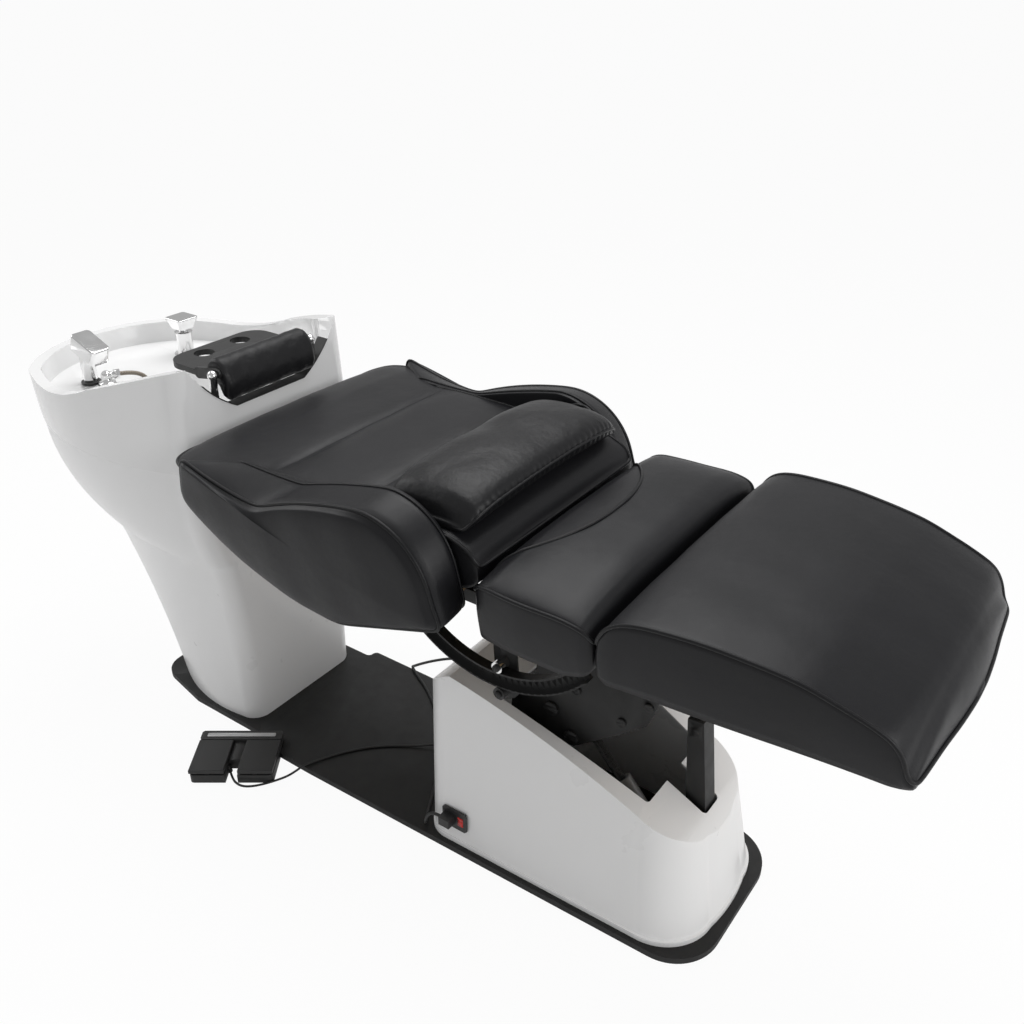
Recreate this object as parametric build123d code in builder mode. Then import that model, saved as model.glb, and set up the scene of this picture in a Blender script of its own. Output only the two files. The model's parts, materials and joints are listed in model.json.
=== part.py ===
from build123d import *
import os
from math import ceil, degrees, pi, radians, tan

# Electric hair washing bed: a glazed basin on a moulded pedestal, and a padded couch on a lift
# inside a white base cover, both on one steel floor plate. Millimetres. X runs from the head
# to the feet, Y across the bed, Z up, and the origin is the middle of the plate's underside.

os.makedirs("parts", exist_ok=True)

# Fits shared by the whole bed
touch_gap = 0.3
running_gap = 0.08
side_gap = 1.0
overrun = 30.0
diagonal_share = 0.7071
cord_bend_share = 0.45

# Floor plate
plate_length = 1536.0
plate_thickness = 14.0
plate_rear_half = 152.0
plate_lobe_half = 186.0
plate_wide_half = 210.0
plate_front_half = 188.0
plate_lobe_x = -600.0
plate_step_x = -364.0
plate_taper_x = -190.0
plate_rear_corner = 60.0
plate_step_corner = 12.0
plate_front_corner = 98.0
service_length = 120.0
service_width = 150.0
service_x = -560.0
service_corner = 12.0
floor_bolt_radius = 6.0
floor_bolt_rear_x = -455.0
floor_bolt_front_x = 640.0
floor_bolt_half_y = 120.0

# Stand under the head: plan sections measured from the front face, as shares of its length and
# half-width. Each row: level, front, place and width of the side, of the shoulder, head end.
stand_front_x = -406.0
stand_length = 653.0
stand_half = 290.0
stand_corner = 45.0
seam_height = 700.0
column_shares = [
    (0.0, 0.586, 0.266, 0.590, 0.450, 0.452, 0.522),
    (0.330, 0.614, 0.297, 0.616, 0.585, 0.440, 0.655),
    (0.643, 0.676, 0.358, 0.703, 0.726, 0.490, 0.815),
]
bulb_shares = [
    (0.643, 0.697, 0.370, 0.731, 0.733, 0.517, 0.827),
    (0.738, 0.772, 0.404, 0.848, 0.757, 0.662, 0.894),
    (0.854, 0.814, 0.435, 0.931, 0.795, 0.741, 0.943),
    (1.0, 0.834, 0.450, 0.979, 0.815, 0.766, 0.971),
]
basin_shares = [
    (1.0, 0.845, 0.450, 0.988, 0.820, 0.776, 0.978),
    (1.165, 0.821, 0.458, 1.0, 0.833, 0.786, 1.0),
    (1.345, 0.793, 0.458, 0.993, 0.833, 0.783, 1.0),
]
pedestal_wall = 7.0
rim_low_height = 812.0
rim_high_height = 924.0
rim_rise_x = -817.0
rim_curve_shares = [(0.18, 0.08), (0.43, 0.37), (0.70, 0.68)]
rim_wall = 26.0
deck_height = 762.0
deck_thickness = 14.0
bowl_middle_x = -600.0
bowl_half_x = 148.0
bowl_half_y = 236.0
bowl_corner = 90.0
bowl_floor_height = 640.0
bowl_wall = 12.0
bowl_row_shares = [(0.0, 0.60), (0.30, 0.82), (0.62, 0.94), (1.0, 1.0)]
notch_floor_height = 812.0
notch_floor_half = 96.0
notch_top_half = 207.0
notch_arc_shares = (0.53, 0.39)
trim_thickness = 3.0
trim_top_height = 880.0
trim_lip = 1.5

# Drain, trap and supply tails inside the pedestal
drain_x = -620.0
drain_radius = 26.0
drain_rim_radius = 36.0
drain_rim_thickness = 3.0
drain_wall = 3.0
drain_tail_length = 64.0
drain_nut_height = 12.0
drain_cross_width = 4.0
strainer_depth = 12.0
strainer_hole_radius = 2.2
strainer_hole_count = 8
strainer_pin_radius = 3.0
strainer_pin_height = 14.0
trap_radius = 40.0
trap_height = 130.0
waste_radius = 20.0
waste_x = -560.0
waste_height = 480.0
supply_radius = 7.0
supply_mount_height = 20.0

# Mixer on the deck
mixer_x = -852.0
mixer_y = 128.0
mixer_flange_radius = 29.0
mixer_flange_height = 6.0
mixer_body_radius = 21.5
mixer_body_height = 54.0
mixer_body_waist = 18.5
mixer_shank_radius = 16.0
mixer_nut_radius = 24.0
mixer_nut_height = 9.0
cartridge_radius = 11.0
cartridge_height = 9.0
cartridge_spindle_radius = 6.0
cartridge_spindle_height = 16.0
mixer_pin_radius = 2.5
mixer_pin_length = 36.0
mixer_cap_width = 42.0
mixer_cap_top_width = 60.0
mixer_cap_height = 27.0
mixer_cap_corner = 8.0
mixer_pocket_radius = 13.5
mixer_pocket_depth = 14.0

# Outlet elbow, hand shower in its sleeve, and the hose between them
elbow_x = -838.0
elbow_y = -110.0
elbow_flange_radius = 19.0
elbow_gasket_height = 3.0
elbow_flange_height = 5.0
elbow_radius = 12.0
elbow_height = 785.0
elbow_shank_radius = 10.0
elbow_nut_radius = 11.0
elbow_nut_length = 14.0
hose_radius = 5.0
hose_points = [
    (-824, -83, 785), (-800, -40.5, 785), (-782, -33, 741), (-775, -40, 655), (-786, -52, 580),
    (-816, -76, 535), (-856, -106, 542), (-878, -122, 590), (-881, -126, 655), (-880, -124, 717.6),
]
grommet_x = -788.5
grommet_y = -35.5
grommet_radius = 15.0
grommet_bore = 9.5
handset_x = -880.0
handset_y = -124.0
handset_radius = 16.0
handset_height = 78.0
handset_foot = 30.0
handset_head_length = 82.0
handset_head_width = 50.0
handset_head_thickness = 38.0
handset_head_corner = 10.0
handset_head_angle = 22.0
handset_head_share = 0.30
handset_nipple_radius = 7.0
handset_nipple_length = 14.0
sleeve_radius = 22.0
sleeve_height = 6.0
sleeve_wall = 2.5
sleeve_lip = 4.0

# Neck rest over the notch
neck_bar_x = -419.0
neck_bar_height = 888.0
neck_bar_radius = 8.0
neck_post_y = 137.0
neck_post_radius = 8.0
neck_post_foot_height = 800.0
neck_cap_radius = 11.0
sling_half = 118.0
sling_rear_x = -455.0
sling_front_x = -396.0
sling_top_height = 910.0
sling_low_height = 846.0
sling_outline_shares = [
    (1.0, 0.0), (1.03, 0.62), (0.74, 0.97), (0.38, 1.06), (0.0, 0.78),
    (0.0, 0.37), (0.42, 0.40), (0.74, 0.0),
]
sling_row_shares = [(-1.0, 0.90), (-0.93, 1.0), (-0.45, 0.985), (0.45, 0.985), (0.93, 1.0), (1.0, 0.90)]
tray_rear_x = -587.0
tray_half = 126.0
tray_top_height = 884.0
tray_thickness = 13.0
tray_corner = 46.0
tray_hole_radius = 22.0
tray_hole_half_y = 50.0
tray_hole_x = -549.0
tray_lug_width = 7.0
tray_lug_tall = 24.0

# Base cover
cover_rear_x = 133.0
cover_front_x = 742.0
cover_rear_half = 187.0
cover_front_half = 178.0
cover_rear_corner = 55.0
cover_front_corner = 105.0
cover_bow = 7.0
cover_loft_height = 450.0
cover_top_rear_x = 140.0
cover_top_front_x = 672.0
cover_top_rear_half = 180.0
cover_top_front_half = 117.0
cover_top_corner = 80.0
cover_shoulder_height = 318.0
cover_crown_x = 208.0
cover_crown_height = 436.0
cover_nose_x = 686.0
cover_nose_height = 238.0
cover_nose_low_height = 120.0
cover_swell = 9.0
cover_shoulder_swell = 22.0
cover_nose_swell = 17.0
cover_wall = 5.0
cover_foot_height = 12.0
cover_foot_reach = 2.5
slot_rear_x = 300.0
slot_front_x = 606.0
slot_rear_half = 140.0
slot_front_half = 102.0
slot_corner = 9.0
slot_nose_half = 29.0
slot_nose_x = 689.0

# Power inlet with its switch, and the cable gland
inlet_x = 218.0
inlet_height = 82.0
inlet_width = 62.0
inlet_tall = 50.0
inlet_corner = 6.0
inlet_lip = 3.5
inlet_depth = 24.0
inlet_margin = 5.0
socket_width = 27.0
socket_tall = 22.0
socket_depth = 16.0
socket_shift = -12.0
rocker_shift = 15.5
rocker_width = 13.0
rocker_tall = 22.0
rocker_depth = 8.0
rocker_proud = 2.0
rocker_pin_radius = 1.5
plug_proud = 22.0
gland_radius = 8.0
gland_flange_radius = 12.0
gland_flange_thickness = 4.0
gland_nose = 8.4
gland_y = 74.0
gland_height = 30.0

# Welded base frame
rail_tube = 30.0
rail_middle_y = 112.0
rail_rear_x = 172.0
rail_front_x = 692.0
cross_tube_shares = [0.0, 0.21, 0.58, 0.94]
upright_inner_y = 70.0
upright_thickness = 8.0
upright_width = 36.0
upright_rear_x = 187.0
upright_front_x = 296.0
strut_foot_x = 674.0
strut_foot_height = 120.0
drive_foot_x = 612.0
drive_foot_height = 66.0
foot_width = 26.0
ear_thickness = 6.0
ear_gap = 0.4
pin_radius = 7.0
pin_head_radius = 11.0
pin_head_height = 4.0
control_box_length = 120.0
control_box_width = 96.0
control_box_height = 56.0
control_box_x = 384.0
control_box_corner = 6.0

# Lift: two pairs of parallel arms between the uprights and the carriage
lift_rest_angle = 40.0
lift_arm_length = 250.0
upper_pivot_x = 388.0
upper_pivot_height = 391.0
second_shift_x = 46.0
second_drop = 48.0
arm_width = 34.0
arm_thickness = 8.0
arm_tube_radius = 13.0
arm_tube_share = 0.55
second_tube_share = 0.45
drive_pin_share = 0.8
pivot_radius = 9.0
pivot_head_radius = 15.0
pivot_head_height = 6.0
eye_radius = 15.0
eye_bore = 5.0
eye_half_width = 8.0
eye_reach = 36.0
drive_tube_radius = 20.0
drive_neck = 27.0
drive_tube_length = 176.0
drive_rod_start = 136.0
drive_rod_radius = 9.0
drive_motor_radius = 22.0
drive_motor_length = 84.0
drive_gear_width = 44.0

# Couch carriage and seat frame
carriage_gap = 2.0
carriage_thickness = 6.0
carriage_rear_x = 296.0
carriage_front_x = 604.0
carriage_low_height = 322.0
carriage_top_height = 612.0
carriage_outline_shares = [
    (0.18, 1.0), (0.18, 0.415), (0.0, 0.08), (0.46, 0.0),
    (0.755, 0.245), (0.945, 0.42), (1.0, 0.575), (1.0, 1.0),
]
carriage_bolt_shares = [(0.47, 0.465), (0.785, 0.37), (0.955, 0.57)]
carriage_bolt_radius = 5.0
carriage_strip_thickness = 3.0
carriage_strip_share = 0.66
seat_tube_opening = 24.0
seat_tube = 30.0
seat_tube_rear_x = 352.0
seat_tube_front_x = 530.0
seat_tube_front_half = 170.0
seat_board_thickness = 14.0
seat_board_half = 240.0
seat_board_inset = 17.0

# Recline: curved rails under the back run between rollers on the seat frame
recline_x = 342.0
recline_height = 765.0
curve_outer_radius = 256.0
curve_inner_radius = 224.0
curve_near_y = 206.0
curve_width = 20.0
curve_flange = 4.0
curve_web = 5.0
curve_rear_angle = 192.0
curve_front_angle = 320.0
guide_angle = 274.0
upper_roller_radius = 11.0
lower_roller_radius = 12.0
guide_pin_radius = 5.0
guide_plate_thickness = 6.0
guide_plate_half = 24.0
guide_gap = 4.0
back_tube = 25.0
back_tube_middle_y = 214.0
back_tube_rear_x = -290.0
back_tube_front_x = 318.0
back_cross_x = 200.0
back_cross_middle_x = -10.0
back_board_thickness = 12.0
back_board_half = 240.0
back_link_x = 200.0
back_link_height = 590.0
back_foot_x = 520.0
back_foot_height = 540.0
back_drive_length = 205.0
back_drive_radius = 17.0
back_rod_radius = 8.0

# Leg rest and its telescopic strut
leg_hinge_x = 586.0
leg_hinge_height = 655.0
leg_hinge_ear_y = 150.0
leg_hinge_ear_radius = 12.0
leg_pin_radius = 6.0
leg_board_thickness = 14.0
leg_board_rear_x = 612.0
leg_board_front_x = 1012.0
leg_board_half = 236.0
strut_top_x = 629.0
strut_top_height = 632.0
strut_width = 40.0
strut_low_depth = 46.0
strut_top_depth = 32.0
strut_length = 314.0
strut_below = 16.0
strut_wall = 4.0
strut_bush_length = 22.0
strut_rod_radius = 9.0
strut_rod_length = 330.0
strut_bolt_radius = 6.0
strut_bolt_share = 0.93

# Cushions
seat_rear_x = 346.0
seat_front_x = 583.0
seat_half = 300.0
seat_low_height = 656.0
seat_high_height = 799.0
leg_rear_x = 588.0
leg_front_x = 1076.0
leg_half = 300.0
leg_low_height = 672.0
leg_high_height = 814.0
back_head_x = -378.0
back_front_x = 338.0
back_half = 330.0
back_low_height = 704.0
back_high_height = 814.0
wing_outer_y = 335.0
wing_inner_y = 251.0
pillow_rear_x = 128.0
pillow_front_x = 318.0
pillow_half = 236.0
pillow_low_height = 812.9
pillow_high_height = 884.0
pillow_sag = 9.5
drawn_in = 2.5

# Cushion rows: place along it, bottom and seam half-width, then bottom, seam and crown height
seat_row_shares = [
    (0.0, 0.78, 0.80, 0.20, 0.50, 0.55),
    (0.04, 0.80, 0.82, 0.08, 0.62, 0.72),
    (0.10, 0.81, 0.828, 0.0, 0.73, 0.88),
    (0.20, 0.815, 0.83, 0.0, 0.77, 0.96),
    (0.25, 0.90, 0.93, 0.0, 0.77, 0.985),
    (0.30, 0.96, 0.985, 0.0, 0.76, 1.0),
    (0.48, 0.975, 1.0, 0.0, 0.75, 1.0),
    (0.75, 0.975, 1.0, 0.0, 0.76, 0.985),
    (0.90, 0.975, 0.997, 0.07, 0.73, 0.92),
    (0.97, 0.965, 0.985, 0.13, 0.67, 0.80),
    (1.0, 0.95, 0.96, 0.22, 0.56, 0.62),
]
leg_row_shares = [
    (0.0, 0.955, 0.965, 0.16, 0.45, 0.50),
    (0.015, 0.97, 0.985, 0.05, 0.60, 0.66),
    (0.05, 0.972, 0.992, 0.0, 0.78, 0.86),
    (0.11, 0.962, 0.984, 0.0, 0.88, 0.945),
    (0.18, 0.953, 0.973, 0.0, 0.92, 0.98),
    (0.34, 0.935, 0.953, 0.0, 0.944, 1.0),
    (0.48, 0.915, 0.933, 0.0, 0.915, 0.985),
    (0.615, 0.893, 0.913, 0.0, 0.86, 0.94),
    (0.74, 0.875, 0.897, 0.0, 0.74, 0.84),
    (0.832, 0.865, 0.884, 0.0, 0.63, 0.745),
    (0.889, 0.860, 0.877, 0.0, 0.53, 0.68),
    (0.922, 0.855, 0.870, 0.01, 0.36, 0.61),
    (0.940, 0.850, 0.862, 0.02, 0.18, 0.55),
    (0.960, 0.835, 0.845, 0.03, 0.11, 0.475),
    (0.980, 0.49, 0.50, 0.04, 0.12, 0.36),
    (0.994, 0.25, 0.26, 0.06, 0.12, 0.24),
    (1.0, 0.08, 0.09, 0.08, 0.12, 0.17),
]
back_row_shares = [
    (0.0, 0.50, 0.52, 0.28, 0.62, 0.66),
    (0.02, 0.78, 0.80, 0.12, 0.72, 0.80),
    (0.06, 0.92, 0.94, 0.03, 0.76, 0.88),
    (0.12, 0.965, 0.985, 0.0, 0.77, 0.93),
    (0.160, 0.97, 0.99, 0.0, 0.78, 0.95),
    (0.25, 0.855, 0.86, 0.0, 0.83, 0.95),
    (0.32, 0.757, 0.757, 0.0, 0.86, 0.93),
    (0.345, 0.757, 0.757, 0.0, 0.83, 0.875),
    (0.37, 0.757, 0.757, 0.0, 0.87, 0.94),
    (0.42, 0.757, 0.757, 0.0, 0.89, 0.995),
    (0.54, 0.757, 0.757, 0.0, 0.89, 0.995),
    (0.60, 0.757, 0.757, 0.0, 0.87, 0.94),
    (0.626, 0.757, 0.757, 0.0, 0.83, 0.875),
    (0.652, 0.757, 0.757, 0.0, 0.87, 0.94),
    (0.70, 0.757, 0.757, 0.0, 0.89, 0.985),
    (0.90, 0.757, 0.757, 0.0, 0.88, 0.975),
    (0.955, 0.757, 0.757, 0.06, 0.78, 0.87),
    (0.985, 0.757, 0.757, 0.16, 0.66, 0.74),
    (1.0, 0.755, 0.755, 0.28, 0.50, 0.55),
]
# Wing outlines along the back's length and height, at the outer and at the inner face
wing_outer_shares = [
    (0.100, 0.97), (0.30, 0.62), (0.385, 0.565), (0.56, 0.99), (0.735, 1.21), (0.862, 0.94),
    (0.938, 0.09), (0.965, -0.30), (0.64, -1.01), (0.37, -0.72), (0.085, 0.20),
]
wing_inner_shares = [
    (0.245, 0.90), (0.33, 0.905), (0.475, 0.94), (0.61, 1.20), (0.755, 1.42), (0.878, 1.14),
    (0.945, 0.40), (0.968, -0.20), (0.66, -0.86), (0.44, -0.58), (0.23, 0.16),
]
wing_centre_shares = (0.55, 0.10)
# Wing rows: place from the inner to the outer face, blend of the outlines, swelling
wing_row_shares = [
    (0.0, 0.0, 0.0), (0.25, 0.28, 0.03), (0.70, 0.75, 0.035), (0.93, 0.95, 0.01), (1.0, 1.0, -0.03),
]
# Pillow rows: place across the bed, depth and thickness
pillow_row_shares = [
    (-1.0, 0.80, 0.30), (-0.965, 0.90, 0.58), (-0.88, 0.965, 0.84), (-0.70, 0.99, 0.97),
    (-0.35, 1.0, 1.0), (0.0, 0.985, 0.96), (0.35, 1.0, 1.0), (0.70, 0.985, 0.96),
    (0.88, 0.96, 0.84), (0.965, 0.90, 0.58), (1.0, 0.80, 0.30),
]

# Foot control on the floor beside the plate, turned towards the user
pedal_x = -349.0
pedal_y = -277.0
pedal_turn_angle = 35.5
pedal_width = 188.0
pedal_depth = 134.0
pedal_height = 36.0
pedal_base_height = 22.0
pedal_ridge_depth = 30.0
pedal_chamfer = 20.0
pedal_notch_width = 28.0
pedal_notch_depth = 46.0
pedal_ledge_height = 27.0
tread_gap = 1.5
tread_fall = 4.5
tread_rib_width = 8.0
tread_axle_radius = 2.5
tread_axle_length = 9.0
strip_width = 158.0
strip_depth = 12.0
strip_thickness = 1.2
pedal_gland_radius = 6.0
pedal_gland_length = 12.0

# Cords: their routes are chosen by hand
mains_radius = 3.5
mains_points = [
    (192.7, -200, 82), (175, -200, 82), (158, -199.6, 71), (148, -198, 51), (141, -193.4, 31),
    (132, -183, 18.1), (118, -160, 17.7), (102, -128, 17.7), (78, -86, 17.7), (52, -36, 17.7),
    (18, 12, 17.7), (-20, 56, 17.7), (-62, 97, 17.7), (-108, 134, 17.7), (-156, 167, 17.7),
    (-202, 190, 17.9), (-226, 203, 19.5), (-241, 214, 17.5), (-246.5, 227, 8.2), (-243.5, 246, 3.9),
    (-228, 272, 3.7),
    (-203, 303, 3.7), (-168, 331, 3.7), (-124, 349, 3.7), (-76, 356, 3.7), (-28, 352, 3.7),
    (18, 341, 3.7), (62, 326, 3.7),
]
coil_loops = 6
coil_radius = 36.0
coil_pitch = 7.8
tail_points = [
    (0, 0, 0), (18, 0, 0), (38, 2, -5), (57, 7, -17), (75, 14, -30), (95, 22, -41), (118, 29, -46),
    (142, 32, -44), (166, 33, -38.6), (188, 33, -37.2),
]
plug_body_length = 42.0
plug_body_width = 36.0
plug_body_tall = 26.0
plug_relief_length = 24.0
plug_pin_radius = 2.4
plug_pin_length = 19.0
plug_pin_half = 9.5
pedal_cable_radius = 2.6
pedal_cable_points = [
    (-334.7, -313.5, 8), (-319.3, -322.1, 6), (-301.8, -328.8, 3.6), (-281, -328, 2.8),
    (-262, -315, 2.8), (-245, -293, 2.8), (-231, -268, 2.8), (-220, -246, 3.8), (-211, -227, 10.6),
    (-203.5, -210, 18.4), (-194, -188, 17.6), (-180, -158, 16.8),
    (-160, -124, 16.8), (-136, -92, 16.8), (-108, -62, 16.8), (-74, -36, 16.8), (-38, -13, 17.8),
    (-12, 2, 23.6), (14, 17, 28), (42, 34, 25.6), (72, 54, 22.4), (98, 68, 26), (117, 73.4, 30),
]


def middle(span):
    return (span[0] + span[1]) / 2


def extent(span):
    return span[1] - span[0]


def along(span, part):
    """The place that lies a given part of the way along a span."""
    return span[0] + extent(span) * part


def both(y_low, y_high):
    """The same stretch of width on the near and on the far side."""
    return [(-y_high, -y_low), (y_low, y_high)]


def block(x_span, y_span, z_span, mode=Mode.ADD, corner=0):
    with BuildSketch(Plane.XY.offset(z_span[0])) as outline:
        with Locations((middle(x_span), middle(y_span))):
            if corner:
                RectangleRounded(extent(x_span), extent(y_span), corner)
            else:
                Rectangle(extent(x_span), extent(y_span))
    extrude(outline.sketch, amount=extent(z_span), mode=mode)


def rod(start, end, radius, mode=Mode.ADD):
    """A round bar between two points."""
    line = Vector(*end) - Vector(*start)
    with BuildSketch(Plane(origin=start, z_dir=line)) as disc:
        Circle(radius)
    extrude(disc.sketch, amount=line.length, mode=mode)


def cross_rod(place, y_span, radius, mode=Mode.ADD):
    """A round bar across the bed, at a place given in X and Z."""
    rod((place[0], y_span[0], place[1]), (place[0], y_span[1], place[1]), radius, mode)


def post(x, y, z_span, radius, mode=Mode.ADD):
    rod((x, y, z_span[0]), (x, y, z_span[1]), radius, mode)


def side_plate(points, y_span, mode=Mode.ADD):
    """A flat plate that stands along the bed, with its outline in X and Z."""
    with BuildSketch(Plane.XZ.offset(-y_span[1])) as outline:
        with BuildLine():
            Polyline(*points, close=True)
        make_face()
    extrude(outline.sketch, amount=extent(y_span), mode=mode)


def link_bar(start, end, width, y_span, mode=Mode.ADD):
    """A flat bar with round ends between two places in X and Z."""
    run = Vector(*end) - Vector(*start)
    with BuildSketch(Plane.XZ.offset(-y_span[1])) as outline:
        with Locations(Location(middle_point(start, end), degrees_of(run))):
            SlotCenterToCenter(run.length, width)
    extrude(outline.sketch, amount=extent(y_span), mode=mode)


def middle_point(start, end):
    return (middle((start[0], end[0])), middle((start[1], end[1])))


def degrees_of(run):
    return Vector(1, 0).get_signed_angle(run, Vector(0, 0, 1))


def direction(start, end):
    """The unit vector from one place in X and Z to another, in space."""
    return Vector(end[0] - start[0], 0, end[1] - start[1]).normalized()


def step_along(start, end, distance):
    """The place in X and Z at a distance from the start, towards the end."""
    way = direction(start, end)
    return (start[0] + way.X * distance, start[1] + way.Z * distance)


def turned(length, angle):
    """A run of given length at an angle above +X, in X and Z."""
    run = Vector(length, 0).rotate(Axis.Z, angle)
    return (run.X, run.Y)


def cord_radii(points):
    """A bend at each inner point, as large as its two runs allow."""
    radii = []
    for before, corner, after in zip(points, points[1:], points[2:]):
        run_in = Vector(*corner) - Vector(*before)
        run_out = Vector(*after) - Vector(*corner)
        turn = radians(run_in.get_angle(run_out))
        radii.append(cord_bend_share * min(run_in.length, run_out.length) / tan(turn / 2))
    return radii


def tube(points, radius):
    """A cord along its route, with its tightest bend and a volume check printed."""
    radii = cord_radii(points)
    with BuildLine() as route:
        FilletPolyline(*points, radius=radii)
    with BuildSketch(route.line ^ 0) as disc:
        Circle(radius)
    solid = sweep(disc.sketch, path=route.line)
    length = sum(edge.length for edge in route.edges())
    print(
        "cord", round(length), "mm, tightest bend", round(min(radii), 1),
        "mm, volume ratio", round(solid.volume / (pi * radius * radius * length), 4),
    )


def finish(builder, name):
    """Label a finished piece and write it."""
    builder.part.label = name
    export_step(builder.part, "parts/" + name + ".step")


def stand_section(row, inset, lift):
    """One plan section of the stand: flat front, round corners, swelling sides, round head."""
    level, front, side_x, side_y, shoulder_x, shoulder_y, head = row
    height = plate_thickness + (seam_height - plate_thickness) * level + lift
    slope = inset * diagonal_share
    face = stand_front_x - inset
    corner_y = stand_half * front - inset
    cut = stand_corner * (1 - diagonal_share)
    front_end = (face, corner_y - stand_corner)
    corner = (face - cut, corner_y - cut)
    side_end = (face - stand_corner, corner_y)
    side = (stand_front_x - stand_length * side_x, stand_half * side_y - inset)
    shoulder = (stand_front_x - stand_length * shoulder_x + slope, stand_half * shoulder_y - slope)
    head_end = (stand_front_x - stand_length * head + inset, 0)
    with BuildSketch(Plane.XY.offset(height)) as section:
        with BuildLine():
            Line(far(front_end), front_end)
            ThreePointArc(front_end, corner, side_end)
            ThreePointArc(side_end, side, shoulder)
            ThreePointArc(shoulder, head_end, far(shoulder))
            ThreePointArc(far(shoulder), far(side), far(side_end))
            ThreePointArc(far(side_end), far(corner), far(front_end))
        make_face()
    return section.sketch


def far(point):
    """The same place on the other side of the bed's middle."""
    return (point[0], -point[1])


def stand_loft(rows, inset, low_lift=0, high_lift=0, mode=Mode.ADD):
    lifts = [low_lift] + [0 for row in rows[2:]] + [high_lift]
    loft([stand_section(row, inset, lift) for row, lift in zip(rows, lifts)], mode=mode)


stand_x_span = (stand_front_x - stand_length - overrun, stand_front_x + overrun)
stand_y_span = (-stand_half - overrun, stand_half + overrun)
stand_top = rim_high_height + overrun + overrun

# Floor plate
plate_rear_x = -plate_length / 2
plate_front_x = plate_length / 2
plate_side = [
    (plate_rear_x, plate_rear_half), (plate_lobe_x, plate_lobe_half),
    (plate_step_x, plate_lobe_half), (plate_step_x, plate_wide_half),
    (plate_taper_x, plate_wide_half), (plate_front_x, plate_front_half),
]
with BuildPart() as base_plate:
    with BuildSketch() as outline:
        with BuildLine():
            Polyline(*plate_side, *[far(point) for point in reversed(plate_side)], close=True)
        make_face()
        fillet(outline.vertices().group_by(Axis.X)[-1], plate_front_corner)
        fillet(outline.vertices().group_by(Axis.X)[2], plate_step_corner)
        fillet(outline.vertices().group_by(Axis.X)[0], plate_rear_corner)
        with Locations((service_x, 0)):
            RectangleRounded(service_length, service_width, service_corner, mode=Mode.SUBTRACT)
        for bolt_x in (floor_bolt_rear_x, floor_bolt_front_x):
            with Locations((bolt_x, -floor_bolt_half_y), (bolt_x, floor_bolt_half_y)):
                Circle(floor_bolt_radius, mode=Mode.SUBTRACT)
    extrude(amount=plate_thickness)
finish(base_plate, "base_plate")

# Moulded pedestal, open at both ends
with BuildPart() as pedestal_shell:
    stand_loft(column_shares, 0)
    stand_loft(bulb_shares, 0)
    stand_loft(column_shares, pedestal_wall, high_lift=pedestal_wall, mode=Mode.SUBTRACT)
    stand_loft(bulb_shares, pedestal_wall, low_lift=pedestal_wall, mode=Mode.SUBTRACT)
finish(pedestal_shell, "pedestal_shell")


def bowl_loft(grow, mode=Mode.ADD):
    """The bowl's form, grown outwards for its underside."""
    floor = bowl_floor_height - grow
    sections = []
    for level, size in bowl_row_shares:
        with BuildSketch(Plane.XY.offset(floor + (deck_height - floor) * level)) as section:
            with Locations((bowl_middle_x, 0)):
                RectangleRounded(
                    2 * (bowl_half_x * size + grow),
                    2 * (bowl_half_y * size + grow),
                    bowl_corner * size + grow,
                )
        sections.append(section.sketch)
    loft(sections, mode=mode)


def notch_cut(inset, x_span, top, mode):
    """The neck cut-out's profile through the front wall, made smaller by the inset."""
    floor = notch_floor_height + inset
    floor_end = (notch_floor_half, floor)
    top_half = notch_top_half - inset
    bend = (
        notch_floor_half + (top_half - notch_floor_half) * notch_arc_shares[0],
        floor + (rim_high_height - floor) * notch_arc_shares[1],
    )
    top_end = (top_half, rim_high_height)
    with BuildSketch(Plane.YZ.offset(x_span[0])) as profile:
        with BuildLine():
            Line(mirrored(floor_end), floor_end)
            ThreePointArc(floor_end, bend, top_end)
            Polyline(top_end, (top_half, top), (-top_half, top), mirrored(top_end))
            ThreePointArc(mirrored(top_end), mirrored(bend), mirrored(floor_end))
        make_face()
    extrude(profile.sketch, amount=extent(x_span), mode=mode)


def mirrored(point):
    return (-point[0], point[1])


def rim_cut():
    """Everything above the rim's line, which is low at the head and rises to the front."""
    x_span = (rim_rise_x, stand_front_x)
    z_span = (rim_low_height, rim_high_height)
    spots = [(along(x_span, part[0]), along(z_span, part[1])) for part in rim_curve_shares]
    start = (rim_rise_x, rim_low_height)
    end = (stand_front_x, rim_high_height)
    with BuildSketch(Plane.XZ.offset(-stand_y_span[1])) as profile:
        with BuildLine():
            ThreePointArc(start, spots[0], spots[1])
            ThreePointArc(spots[1], spots[2], end)
            Polyline(
                end, (stand_x_span[1], rim_high_height), (stand_x_span[1], stand_top),
                (stand_x_span[0], stand_top), (stand_x_span[0], rim_low_height), start,
            )
        make_face()
    extrude(profile.sketch, amount=extent(stand_y_span), mode=Mode.SUBTRACT)


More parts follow.
